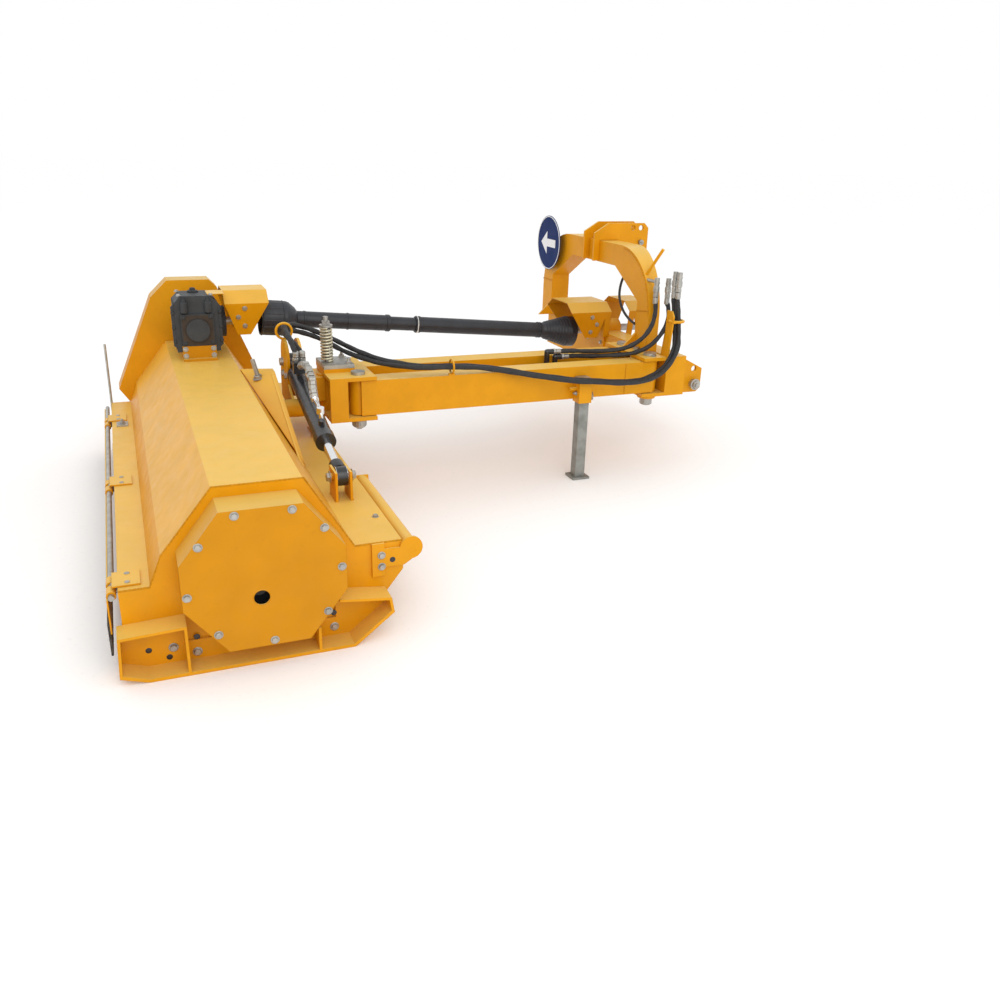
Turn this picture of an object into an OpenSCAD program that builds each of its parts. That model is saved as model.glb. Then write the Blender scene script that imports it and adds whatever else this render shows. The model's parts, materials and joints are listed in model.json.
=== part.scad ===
// Offset flail mower on a three-point headstock, standing parked on its skids, rear roller and jack.
// +Y is the direction of travel, +X the machine's right (outer) side, +Z up from the ground.

/* [Deck] */
// Width of the head over its two end plates
head_w = 1950; // [1700:10:2200]
// Height of the deck's flat ridge above the ground
ridge_z = 506; // [480:1:530]
// Ridge edge behind the head's middle line
ridge_back = 114; // [90:1:140]
// Ridge edge in front of the head's middle line
ridge_front = 129; // [110:1:150]
// Knee of the rear slope behind the middle line
knee_back = 256; // [240:1:270]
// Height of that knee
knee_z = 328; // [310:1:345]
// Inner edge of the rear shelf
step_back = 290; // [280:1:300]
// Rear lip of the deck
lip_back = 370; // [355:1:385]
// Height of the rear shelf
rear_shelf_z = 240; // [230:1:250]
// Depth of the rear lip
rear_lip = 40; // [30:1:50]
// Inner edge of the front shelf
step_front = 266; // [255:1:275]
// Front lip of the deck
lip_front = 409; // [400:1:420]
// Height of the front shelf
front_shelf_z = 280; // [270:1:290]
// Depth of the front lip
front_lip = 90; // [70:1:100]
// Foot of the front lip, drawn back under the deck
toe_front = 336; // [320:1:350]
// Height of that foot
toe_z = 97; // [85:1:110]
// Deck sheet
sheet_t = 6; // [4:0.5:8]
// End plate
plate_t = 10; // [8:0.5:14]

/* [End cover] */
// Half width of the eight-sided end cover
cover_half_y = 217; // [200:1:230]
// Half height of the end cover
cover_half_z = 203; // [190:1:205]
// Corner cut along its width
cover_cut_y = 108; // [90:1:120]
// Corner cut along its height
cover_cut_z = 138; // [120:1:150]
// How far the cover stands out from the end plate
cover_depth = 110; // [90:1:130]
// Height of the cover's centre
cover_z = 274; // [270:1:280]
// Cover sheet
cover_t = 4; // [3:0.5:6]

/* [Skids] */
// Flat of the sole behind the middle line
sole_back = 319; // [300:1:335]
// Flat of the sole in front of the middle line
sole_front = 242; // [225:1:255]
// Width of a skid
skid_w = 100; // [80:1:120]
// Skid plate
skid_t = 10; // [8:0.5:12]
// Height of the skid's upright flange
skid_flange = 58; // [45:1:62]

/* [Rotor] */
// Rotor axis behind the middle line
rotor_back = 15; // [5:1:20]
// Rotor axis above the ground
rotor_z = 220; // [215:1:235]
// Outer radius of the rotor tube
rotor_r = 70; // [60:1:80]
// Radius at the flails' tips
flail_r = 190; // [175:1:195]
// Radius of the rotor's end shafts
rotor_shaft_r = 25; // [20:0.5:30]
// Number of flails along the rotor
flail_count = 20; // [12:2:24]

/* [Belt drive] */
// Radius of both pulleys
pulley_r = 90; // [80:1:95]
// Width of both pulleys
pulley_w = 60; // [54:1:64]
// Number of belts
belt_count = 3; // [2:1:3]
// Depth of the belt guard
belt_guard_d = 110; // [105:1:125]
// Height of the belt guard's top
belt_guard_top = 771; // [765:1:800]

/* [Gearbox] */
// Height of the gearbox's shafts
gear_z = 630; // [622:1:640]
// Half depth of the gearbox case
gear_half = 85; // [80:1:95]
// Radius of the input and output shafts
drive_shaft_r = 17.5; // [16:0.5:20]
// Guard sheet
guard_t = 3; // [2:0.5:4]
// Half width of the gearbox guard
gear_guard_half = 125; // [118:1:140]

/* [Roller] */
// Radius of the rear roller
roller_r = 70; // [60:1:72]
// Roller axis behind the middle line
roller_back = 285; // [280:1:290]

/* [Tilt] */
// Tilt axis from the inner end plate
tilt_in = 860; // [840:1:870]
// Height of the tilt axis
tilt_z = 395; // [390:1:400]
// Radius of the tilt pin
tilt_pin_r = 20; // [16:0.5:22]
// Cylinder base pin from the inner end plate
tilt_base_in = 693; // [688:1:700]
// Height of the cylinder's base pin
tilt_base_z = 541; // [535:1:548]
// Cylinder rod pin from the inner end plate
tilt_rod_in = 1550; // [1535:1:1565]
// Height of the rod pin
tilt_rod_z = 352; // [345:1:360]
// Plane of the cylinder in front of the middle line
tilt_y = 320; // [317:1:323]
// Outer radius of the cylinder barrels
barrel_r = 33; // [28:1:36]
// Radius of the cylinder rods
ram_r = 16; // [12:0.5:20]

/* [Arms] */
// Distance between an arm's two pins
arm_len = 1330; // [1200:10:1450]
// Height of the arms' section
arm_h = 140; // [120:1:144]
// Width of the arms' section
arm_w = 100; // [90:1:104]
// Wall of the arms
arm_wall = 8; // [5:0.5:10]
// Near arm's pins from the inner end plate
near_in = 850; // [840:1:860]
// Distance between the two arms' pins
arm_gap = 240; // [232:1:260]
// Middle height of the arms
arm_z = 422; // [420:1:424]
// Arm pins at the carrier in front of the middle line
carrier_y = 555; // [552:1:565]
// Radius of the arm pins
arm_pin_r = 20; // [16:0.5:24]

/* [Breakaway] */
// Breakaway pivot in front of the middle line
break_y = 460; // [457:1:463]
// Mean radius of the breakaway spring
spring_r = 21; // [18:0.5:22]
// Wire of the spring
spring_wire = 9; // [6:0.5:9.5]
// Number of coils
spring_turns = 11; // [8:1:12]
// Length of the spring
spring_len = 130; // [125:1:150]

/* [Headstock] */
// Hitch centre from the inner end plate
hitch_in = 230; // [215:1:250]
// Half width of the arch
arch_half = 560; // [545:1:575]
// Top of the arch
arch_top = 950; // [930:1:970]
// Width of the arch's legs
leg_w = 110; // [95:1:120]
// Depth of the arch along the travel direction
arch_d = 100; // [85:1:110]
// Outer radius of the arch's corners
arch_r = 290; // [240:1:320]
// Half spread of the lower hitch points
hitch_half = 412.5; // [405:0.5:420]
// Height of the lower hitch pins
hitch_z = 320; // [315:1:330]
// Lower hitch pins in front of the headstock's arm pins
hitch_ahead = 350; // [335:1:360]
// Radius of the lower hitch pins
hitch_pin_r = 14; // [11:0.1:18]
// Mast height, from the lower pins to the top link pin
mast_h = 620; // [610:1:630]
// Top link pin in front of the headstock's arm pins
top_link_ahead = 240; // [225:1:245]
// Radius of the top link pin
top_pin_r = 12.7; // [9.5:0.1:16]
// Radius of the road sign
sign_r = 138; // [120:1:145]

/* [Drive shaft] */
// Front joint of the drive shaft behind the headstock's arm pins
pto_behind = 185; // [180:1:195]
// Height of the front joint
pto_front_z = 515; // [512:1:520]
// Drive line from the inner end plate
pto_in = 245; // [235:1:255]
// Radius of the guard tubes
pto_tube_r = 35.5; // [33:0.5:38]
// Radius of the bell at the gearbox end
bell_r = 75; // [68:1:78]

/* [Jack] */
// Jack leg behind the headstock pins
jack_back = 370; // [330:1:420]
// Side of the square jack leg
jack_leg_w = 45; // [40:1:48]
// Side of the square sleeve
jack_sleeve_w = 60; // [56:1:64]

/* [Hoses] */
// Outer diameter of the sleeved hoses
hose_d = 18; // [14:1:18]

/* [Hidden] */
$fn = 48;

// Clearances and overruns shared by every fit
run_fit = 0.05;
seat_fit = 0.2;
slip = 0.5;
overrun = 5;

// Colours
paint = "#e8960c";
paint_light = "#f2b32a";
black_plastic = "#26282b";
zinc = "#c9c6bd";
steel = "#8c8f92";
casting = "#4c5560";
rubber = "#1d1d1f";
chrome = "#d9dcdf";

// Where the machine's lines lie, measured from the outer end plate and the head's middle line
inner_x = -head_w;
rotor_y = -rotor_back;
tilt_x = inner_x + tilt_in;
tilt_base_x = inner_x + tilt_base_in;
tilt_rod_x = inner_x + tilt_rod_in;
near_x = inner_x + near_in;
far_x = near_x - arm_gap;
mid_x = near_x - arm_gap / 2;
stock_y = carrier_y + arm_len;
hitch_x = inner_x + hitch_in;
pto_x = inner_x + pto_in;
arch_ahead = 15;
beam_ahead = 55;
arch_y = stock_y + arch_ahead;
beam_y = stock_y + beam_ahead;
hitch_y = stock_y + hitch_ahead;
top_link_y = stock_y + top_link_ahead;
pto_front_y = stock_y - pto_behind;
pto_rear_y = pto_front_y - arm_len;
arm_low = arm_z - arm_h / 2;
arm_top = arm_z + arm_h / 2;

// Clevis plates that hold the arms at both ends
clevis_t = 15;
clevis_gap = 3;
clevis_side = 60;
clevis_low = arm_low - clevis_gap;
clevis_top = arm_top + clevis_gap;
pin_head = 12;
pin_brim = 8;

// The part's origin is the middle of its box, on the ground
lid_bolt_h = 8;
sign_gap = 30;
sign_x = hitch_x - arch_half + leg_w;
sign_drop = 61;
sign_z = arch_top - sign_drop;
hitch_nose = 45;
door_rod_r = 8;
door_rod_gap = 18;
door_knuckle_r = 13;
flap_t = 6;
reach_out = cover_depth + lid_bolt_h;
reach_in = sign_x - sign_r;
reach_front = hitch_y + hitch_nose;
reach_back = -lip_back - door_rod_gap - door_knuckle_r - flap_t;
origin_x = (reach_out + reach_in) / 2;
origin_y = (reach_front + reach_back) / 2;

// Deck outline across the head, from the rear lip to the foot of the front lip
hood_path = [[-lip_back, rear_shelf_z], [-step_back, rear_shelf_z], [-knee_back, knee_z],
  [-ridge_back, ridge_z], [ridge_front, ridge_z], [step_front, front_shelf_z],
  [lip_front, front_shelf_z]];
deck_path = concat([[-lip_back, rear_shelf_z - rear_lip]], hood_path,
  [[lip_front, front_shelf_z - front_lip], [toe_front, toe_z]]);
heel_z = 75;
// Skid outline and flange
heel_run = 72;
heel_rise = 24;
toe_run = 118;
toe_rise = 92;
skid_path = [[-sole_back - heel_run, heel_rise], [-sole_back, 0], [sole_front, 0],
  [sole_front + toe_run, toe_rise]];
skid_line = side_line(skid_path, skid_t);
plate_path = concat(hood_path, [[lip_front, front_shelf_z - front_lip], [toe_front, toe_z],
  skid_line[2], skid_line[1], [-lip_back, heel_z]]);
skid_out = 78;
skid_flange_t = 8;
heel_lean = 6;
heel_top = 143;
heel_box_front = 211;
heel_box_top = 150;
toe_lean = 8;
toe_lip_z = 140;
toe_lip_back = 41;
toe_lip_top = 159;
toe_rib_y = 137;
toe_rib_top = 75;
heel_path = [[-sole_back - heel_run, heel_rise], [-sole_back - heel_run + heel_lean, heel_top],
  [-heel_box_front, heel_box_top], [-heel_box_front, skid_t / 2]];
toe_path = [[sole_front + toe_run, toe_rise], [sole_front + toe_run - toe_lean, toe_lip_z],
  [sole_front - toe_lip_back, toe_lip_top]];

// End cover bolts, as shares of the cover's half sizes
cover_bolt_shares = [[-0.32, 0.93], [0.36, 0.93], [0.74, 0.62], [0.94, 0.02], [0.74, -0.62],
  [0.05, -0.93], [-0.62, -0.72], [-0.94, -0.12], [-0.76, 0.56]];
lid_bolt_r = 9;
cover_hole_r = 21.5;

// Belt drive, outside the inner end plate
belt_plate_t = 6;
bearing_w = 30;
bearing_r = 62;
bearing_hole_r = 46;
pulley_gap = 6;
pulley_x = inner_x - belt_plate_t - bearing_w - pulley_gap;
groove_w = 13;
groove_d = 12;
belt_pitch = pulley_w / belt_count;
belt_proud = 1;
belt_guard_t = 3;
belt_guard_x = inner_x - belt_plate_t - belt_guard_d;
guard_top_back = 84;
guard_top_front = 94;
guard_cut = 32;
guard_shoulder_back = 158;
guard_shoulder_z = 699;
guard_hip_back = 330;
guard_hip_front = 300;
guard_hip_z = 300;
guard_foot_half = 190;
guard_foot_z = 84;
belt_outline = [[-guard_top_back, belt_guard_top], [-guard_shoulder_back, guard_shoulder_z],
  [-guard_hip_back, guard_hip_z], [-guard_foot_half, guard_foot_z], [guard_foot_half, guard_foot_z],
  [guard_hip_front, guard_hip_z], [guard_top_front + guard_cut, belt_guard_top - guard_cut],
  [guard_top_front, belt_guard_top]];

// Rotor and flails
rotor_gap = 15;
rotor_wall = 10;
rotor_x0 = inner_x + plate_t + rotor_gap;
rotor_len = head_w - 2 * (plate_t + rotor_gap);
rotor_nose = 45;
flail_edge = 45;
flail_step = (rotor_len - 2 * flail_edge) / (flail_count - 1);
flail_turn = 90;
lug_t = 8;
lug_w = 44;
lug_reach = 50;
flail_t = 12;
flail_w = 36;
flail_pivot = 32;
flail_bolt_r = 8;
paddle_w = 66;
paddle_h = 28;
paddle_t = 24;

// Gearbox, its stand and guard
gear_near = 175;
gear_far = 125;
gear_low = 90;
gear_high = 135;
gear_top = gear_z + gear_high;
gear_chamfer = 28;
gear_wall = 14;
gear_cover_half = 64;
gear_cover_t = 12;
gear_dome_r = 46;
gear_tall = 150;
gear_step = 62;
gear_boss_r = 65;
gear_boss = 40;
gear_shaft_end = 262;
stand_t = 10;
stand_high = 90;
stand_foot = 30;
stand_half = 66;
gear_guard_y0 = 117;
gear_guard_y1 = 298;
gear_guard_low = 45;
gear_guard_eave = 90;
gear_guard_top_half = 72;
gear_guard_cut_shares = [0.28, 0.45];
gear_tongue_half = 50;
gear_tongue_y = 50;
gear_tongue_in = 75;

// Roller, door and front bar
roller_gap = 4;
roller_shaft_r = 15;
roller_wall = 8;
bracket_t = 12;
bracket_half = 42;
bracket_top = 190;
bracket_low = 32;
door_y = -lip_back - door_rod_gap;
door_z = rear_shelf_z - rear_lip / 2;
door_drop = 5;
door_t = 4;
door_len = 105;
flap_top = 145;
flap_low = 50;
hinge_count = 3;
hinge_w = 40;
hinge_lug_w = 20;
hinge_lug_half = 12;
hinge_slip = 1;
hinge_end = 270;
hinge_out = 75;
hinge_step = (head_w - hinge_end - hinge_out) / (hinge_count - 1);
bar_r = 23;
bar_y = lip_front + bar_r + slip;
bar_z = front_shelf_z - bar_r;
bar_len = 577;
bar_plate_t = 8;
bar_plate_back = 314;
bar_plate_w = 38;
bar_plate_low = 178;
bar_plate_top = 282;
bar_plate_nose = 12;
bar_arm_low = 205;
bar_arm_top = 263;

// Tilt ears and the knuckle between them
ear_t = 15;
ear_back_y = 225;
ear_front_y = 365;
ear_out = 1360;
ear_out_x = inner_x + ear_out;
ear_in = 755;
ear_in_x = inner_x + ear_in;
ear_peak_in = 810;
ear_peak_x = inner_x + ear_peak_in;
ear_peak_z = 524;
ear_web_in = 652;
ear_web_x = inner_x + ear_web_in;
ear_web_t = 6;
ear_foot = 331;
ear_front_r = 52;
knuckle_r = 35;
knuckle_slip = 0.5;
knuckle_plate_t = 10;
knuckle_plate_gap = 40;
knuckle_box_in = 110;
knuckle_box_out = 50;
knuckle_box_low = 392;
knuckle_box_top = 488;
knuckle_tube_r = 45;
knuckle_top_z = 565;
knuckle_top_in = 735;
knuckle_top_x = inner_x + knuckle_top_in;
knuckle_top_r = 75;
knuckle_block = 40;
knuckle_waist_in = 785;
knuckle_waist_x = inner_x + knuckle_waist_in;
knuckle_waist_z = 470;
knuckle_back_in = 630;
knuckle_back_x = inner_x + knuckle_back_in;
knuckle_back_z = 480;
arm_boss_r = 36;
hose_ring_r = 30;
hose_ring_wire = 5;
lug_plate_t = 8;
lug_half = 45;
lug_top = 26;
base_pin_r = 15;
rod_pin_r = 12;
rod_eye_play = 9;
run_gap = 2;
rod_eye_r = 32;
eye_half = 18;
barrel_start = 125;
barrel_end = 657;
neck_r = 17;
ram_inside = 300;
bore_depth = 420;
gland_len = 40;
gland_r = 36;
port_r = 12;
port_len = 48;
port_back = 70;
tee_top = 88;
tilt_run = [tilt_rod_x - tilt_base_x, tilt_rod_z - tilt_base_z];
tilt_len = norm(tilt_run);
tilt_drop = atan2(-tilt_run[1], tilt_run[0]);

// Carrier and breakaway
side_t = 15;
carrier_margin = 30;
carrier_wing = 70;
carrier_far_y = 500;
carrier_side_front = 500;
web_y = 508;
web_half = 62;
web_t = 12;
detent_t = 15;
detent_half_x = 78;
detent_back = 30;
detent_front = 92;
break_bolt_r = 10;
break_pin_r = 20;
bolt_head = 15;
bolt_head_r = 30;
spring_seat_t = 8;
spring_seat_r = 26;
break_nut_h = 22;
break_nut_r = 17;
break_tail = 18;
detent_top = clevis_top + clevis_t + 2 * detent_t + slip;

// Headstock beam, hitch plates and arch
beam_d = 100;
beam_low = clevis_low - clevis_t;
beam_top = clevis_top + clevis_t;
beam_wall = 10;
beam_in = hitch_x - arch_half;
rack_side = 113;
rack_x = hitch_x + arch_half + rack_side;
clevis_out = near_x + clevis_side;
beam_out = max(clevis_out, rack_x);
swing_pin_r = 12;
hitch_plate_t = 15;
hitch_plate_half = 40;
hitch_low_z = 278;
hitch_high_z = 468;
hitch_root_y = beam_y + beam_d - beam_wall / 2;
hitch_step = 245;
hitch_step_y = stock_y + hitch_step;
hitch_cheek_z = 392;
hitch_tail = 30;
arch_rail = 98;
arch_in_top = arch_top - arch_rail;
arch_in_half = 222;
arch_haunch = 228;
arch_in_side = arch_top - arch_haunch;
arch_wall = 8;
arch_near_share = 0.55;
mast_plate_t = 12;
mast_plate_half = 46;
mast_back = 30;
mast_drop = 95;
mast_high = 80;
mast_nose = 40;
mast_nose_y = top_link_y + mast_nose;
mast_step_y = top_link_y - mast_nose;
mast_round = 45;
mast_pin_tail = 14;
mast_pin_z = hitch_z + mast_h;
mast_pin_drop = 10;
mast_low = min(arch_top, mast_pin_z + mast_pin_drop);
mast_top = max(arch_top, mast_pin_z + mast_pin_drop) + mast_high;
gusset_t = 12;
gusset_h = 70;

// Drive line bearing and guards on the headstock
bearing_plate_t = 12;
bearing_plate_half = 95;
bearing_plate_top = 150;
bearing_tail = 12;
bearing_out_r = 48;
stock_guard_half = 140;
stock_guard_low = 20;
stock_guard_wall = 107;
stock_guard_high = 147;
stock_guard_top_half = 83;
stock_guard_back = 163;
stock_guard_taper = 0.42;
stock_guard_leg = 32;
stock_guard_front = 130;
stub_ahead = 295;
stub_r = drive_shaft_r + 2.5;
stub_neck_r = drive_shaft_r - 3;
stub_neck = 10;
spline_len = 120;
ball_r = 20;
ball_neck_r = 12;
ball_neck = 60;

// Drive shaft lengths, measured back from the front joint
pto_rise = gear_z - pto_front_z;
pto_tilt = atan2(pto_rise, arm_len);
pto_len = norm([arm_len, pto_rise]);
cup_t = 9;
cup_slip = 0.3;
cup_r = ball_r + cup_slip + cup_t;
pto_wall = 4;
cone_front = 95;
cone_rim = 30;
cone_back = 75;
cone_r = 73;
plug_t = 14;
front_tube_share = 0.545;
rear_tube_share = 0.36;
rear_sleeve_share = 0.635;
front_tube_end = pto_len * front_tube_share;
rear_tube_start = pto_len * rear_tube_share;
rear_sleeve_start = pto_len * rear_sleeve_share;
bell_neck = 62;
bell_round = 24;
bell_mouth = 96;
bell_start = pto_len - bell_neck;
bell_full = pto_len - bell_round / 2;
bell_end = pto_len + bell_mouth;
inner_tube_r = pto_tube_r - pto_wall - pto_wall / 4;
pto_shaft_r = 20;
pto_shaft_share = 0.13;
pto_shaft_start = pto_len * pto_shaft_share;
bush_len = 20;

// Swing cylinder between the arms
swing_pin_z = arm_z;
swing_reach = 935;
swing_stand = 38;
swing_rod_y = stock_y - swing_reach;
swing_rod_x = far_x + arm_w / 2 + swing_stand;
swing_len = norm([mid_x - swing_rod_x, stock_y - swing_rod_y]);
swing_turn = atan2(swing_rod_x - mid_x, stock_y - swing_rod_y);
swing_barrel_start = 60;
swing_barrel_end = 560;
swing_eye_r = 28;
swing_lug_half = 40;
swing_lug_t = 10;
swing_lug_nose = 30;
swing_ports = [[405, 42], [445, 66]];
swing_elbow = 30;

// Jack, sign and hose holders
jack_y = stock_y - jack_back;
jack_x = near_x + arm_w / 2 + jack_sleeve_w / 2;
jack_sleeve_low = 345;
jack_sleeve_len = 100;
jack_leg_top = 452;
jack_foot_w = 80;
jack_foot_t = 10;
jack_pull_r = 7;
jack_pull_len = 34;
jack_pull_h = 60;
sign_t = 3;
sign_boss_r = 25;
clip_ahead = 375;
clip_w = 26;
clip_t = 8;
clip_h = 36;
clip_ring_r = 28;
clip_wire = 4;
rack_plate_t = 12;
rack_plate_w = 60;
rack_plate_top = 662;
rack_ring_r = 31;
rack_ring_wire = 6;
rack_ring_ahead = 87;
rack_rod_r = 7;
rack_post_z = 690;
rack_rod_len = 150;
rack_rod_lean = [0, 34, 22];
rack_rod_turn = 0.76;
coupler_tee_r = 7;
coupler_tee_z = 60;
coupler_r = 11;
coupler_len = 78;

// Hose routes drawn for the standard arm, chosen by hand along what carries them
drawn_arm = 1330;
drawn_stock_y = carrier_y + drawn_arm;
drawn_near_x = -1100;
hose_shift = near_x - drawn_near_x;
tilt_routes = [
  [[-1062.2, 309, 588.6], [-1059.3, 309, 602], [-1066, 305, 626], [-1088, 299, 651], [-1122, 296, 668],
    [-1178, 295, 681], [-1236, 298, 684], [-1284, 322, 681], [-1306, 368, 670], [-1308, 424, 650],
    [-1290, 482, 624], [-1250, 540, 596], [-1194, 598, 572], [-1132, 664, 553], [-1086, 750, 540],
    [-1070, 840, 531], [-1065, 930, 528], [-1060, 1040, 520], [-1046, 1160, 502],
    [-1020, 1290, 478], [-984, 1420, 460], [-974, 1540, 448], [-978, 1660, 434], [-992, 1780, 430],
    [-1006, 1870, 452], [-1016, 1930, 500], [-1030, 1962, 556], [-1048, 1972, 612], [-1058, 1970, 668],
    [-1063, 1962, 730], [-1064, 1958, 770], [-1064, 1958, 800]],
  [[-1062.2, 333, 588.6], [-1059.3, 333, 602], [-1084, 329, 620], [-1124, 310, 646], [-1178, 296, 659],
    [-1236, 300, 662], [-1280, 326, 659], [-1298, 370, 648], [-1299, 424, 628], [-1280, 478, 602],
    [-1240, 532, 575], [-1184, 588, 556], [-1120, 652, 543], [-1068, 744, 535], [-1049, 838, 529],
    [-1043, 930, 527], [-1038, 1040, 519], [-1023, 1160, 500], [-997, 1290, 476],
    [-961, 1420, 458], [-951, 1540, 446], [-955, 1660, 432], [-969, 1780, 428], [-983, 1870, 450],
    [-993, 1930, 498], [-1007, 1966, 554], [-1025, 1978, 610], [-1035, 1976, 668], [-1035, 1966, 730],
    [-1034, 1960, 770], [-1034, 1960, 800]]];
swing_routes = [
  [[-1232.8, 1510.8, 497], [-1231.8, 1540, 497], [-1222, 1590, 497], [-1195, 1640, 500], [-1160, 1700, 506],
    [-1130, 1760, 512], [-1110, 1815, 524], [-1096, 1872, 550], [-1090, 1922, 596], [-1092, 1956, 655],
    [-1104, 1962, 712], [-1112, 1956, 742], [-1112, 1956, 765]],
  [[-1234.2, 1470.8, 521], [-1233.2, 1500, 521], [-1224, 1560, 521], [-1200, 1620, 522], [-1168, 1690, 526],
    [-1140, 1760, 536], [-1128, 1812, 556], [-1120, 1858, 590], [-1120, 1894, 636], [-1126, 1910, 686],
    [-1134, 1913, 732], [-1136, 1912, 750], [-1136, 1912, 765]]];
hose_sides = 8;

// Unit direction, left-hand side, and an open or closed outline shifted sideways by t
function unit(v) = v / norm(v);
function left(v) = [-v[1], v[0]];
function shifted(p, before, after, t) =
  let (a = left(unit(p - before)), b = left(unit(after - p)), n = unit(a + b)) p + n * t / (n * a);
function side_line(p, t) = [for (i = [0 : len(p) - 1])
  shifted(p[i], i == 0 ? p[0] * 2 - p[1] : p[i - 1],
    i == len(p) - 1 ? p[i] * 2 - p[i - 1] : p[i + 1], t)];
function reversed(p) = [for (i = [len(p) - 1 : -1 : 0]) p[i]];
function sheet(p, t) = concat(p, reversed(side_line(p, t)));
function inset(p, t) = [for (i = [0 : len(p) - 1])
  shifted(p[i], p[(i + len(p) - 1) % len(p)], p[(i + 1) % len(p)], t)];
function octagon(hy, hz, cy, cz) = [[-hy, hz - cz], [-hy + cy, hz], [hy - cy, hz], [hy, hz - cz],
  [hy, -hz + cz], [hy - cy, -hz], [-hy + cy, -hz], [-hy, -hz + cz]];

// Points of one ring of a tube at p, square to direction d
function ring(p, d, r, sides) =
  let (w = unit(d), s = abs(w[2]) > 0.9 ? [1, 0, 0] : [0, 0, 1], u = unit(cross(s, w)), v = cross(w, u))
  [for (k = [0 : sides - 1]) p + r * (u * cos(360 * k / sides) + v * sin(360 * k / sides))];
function along(p, i) = p[min(i + 1, len(p) - 1)] - p[max(i - 1, 0)];
function tube_faces(n, s) = concat([[for (k = [0 : s - 1]) s - 1 - k]],
  [for (i = [0 : n - 2]) for (k = [0 : s - 1]) [i * s + k, i * s + (k + 1) % s, (i + 1) * s + k]],
  [for (i = [0 : n - 2]) for (k = [0 : s - 1])
    [i * s + (k + 1) % s, (i + 1) * s + (k + 1) % s, (i + 1) * s + k]],
  [[for (k = [0 : s - 1]) (n - 1) * s + k]]);

// One unbroken tube along the points of a route
module tube(p, r, sides) {
  rings = [for (i = [0 : len(p) - 1]) ring(p[i], along(p, i), r, sides)];
  polyhedron([for (q = rings) for (v = q) v], tube_faces(len(p), sides));
}

module block(low, high) {
  translate(low) cube(high - low);
}

// Shapes drawn across the head (Y, Z) and run along X, or drawn as (X, Z) and run along Y
module along_x(x, length) {
  translate([x, 0, 0]) rotate([90, 0, 90]) linear_extrude(length) children();
}

module along_y(y, length) {
  translate([0, y + length, 0]) rotate([90, 0, 0]) linear_extrude(length) children();
}

module rod_x(x, length, y, z, r) {
  translate([x, y, z]) rotate([0, 90, 0]) cylinder(h = length, r = r);
}

module rod_y(y, length, x, z, r) {
  translate([x, y, z]) rotate([-90, 0, 0]) cylinder(h = length, r = r);
}

module rod_z(z, length, x, y, r) {
  translate([x, y, z]) cylinder(h = length, r = r);
}

// Everything is drawn from the outer end plate and moved to the part's own origin
module placed() {
  translate([-origin_x, -origin_y, 0]) children();
}

// Two parallel pulley circles and the straight band between them
module loop(r) {
  low = [rotor_y, rotor_z];
  high = [0, gear_z];
  n = left(unit(high - low)) * r;
  translate(low) circle(r);
  translate(high) circle(r);
  polygon([low + n, low - n, high - n, high + n]);
}

module pulley(y, z) {
  difference() {
    rod_x(pulley_x - pulley_w, pulley_w, y, z, pulley_r);
    for (i = [0 : belt_count - 1])
      difference() {
        rod_x(pulley_x - (i + 0.5) * belt_pitch - groove_w / 2, groove_w, y, z, pulley_r + overrun);
        rod_x(pulley_x - (i + 0.5) * belt_pitch - groove_w, 2 * groove_w, y, z, pulley_r - groove_d);
      }
  }
}

// A headed pin standing along Z through both plates of an arm clevis
module arm_pin(x, y, r, brim) {
  rod_z(clevis_low - clevis_t - pin_head, clevis_top - clevis_low + 2 * clevis_t + pin_head, x, y, r);
  rod_z(clevis_top + clevis_t, pin_head, x, y, r + brim);
  rod_z(clevis_low - clevis_t - 2 * pin_head, pin_head, x, y, r + brim);
}

module arm_pin_holes(y) {
  for (x = [near_x, far_x])
    rod_z(clevis_low - clevis_t - overrun, clevis_top - clevis_low + 2 * (clevis_t + overrun), x, y,
      arm_pin_r + seat_fit);
}

// One arm: a box with a round boss at each end
module arm(x) {
  difference() {
    union() {
      block([x - arm_w / 2, carrier_y, arm_low], [x + arm_w / 2, stock_y, arm_top]);
      for (y = [carrier_y, stock_y])
        rod_z(arm_low, arm_h, x, y, arm_boss_r);
    }
    block([x - arm_w / 2 + arm_wall, carrier_y + arm_w / 2, arm_low + arm_wall],
      [x + arm_w / 2 - arm_wall, stock_y - arm_w / 2, arm_top - arm_wall]);
    for (y = [carrier_y, stock_y])
      rod_z(arm_low - overrun, arm_h + 2 * overrun, x, y, arm_pin_r + run_fit);
  }
}

// Headstock
module hitch_plate(x) {
  along_x(x, hitch_plate_t)
    difference() {
      polygon([[hitch_root_y, hitch_low_z], [hitch_step_y, hitch_low_z],
        [reach_front - hitch_nose / 2, hitch_low_z], [reach_front, hitch_z - hitch_nose / 2],
        [reach_front, hitch_cheek_z], [hitch_step_y, hitch_high_z], [hitch_root_y, hitch_high_z]]);
      translate([hitch_y, hitch_z]) circle(hitch_pin_r + seat_fit);
      translate([hitch_y, hitch_cheek_z]) circle(hitch_pin_r + seat_fit);
    }
}

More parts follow.
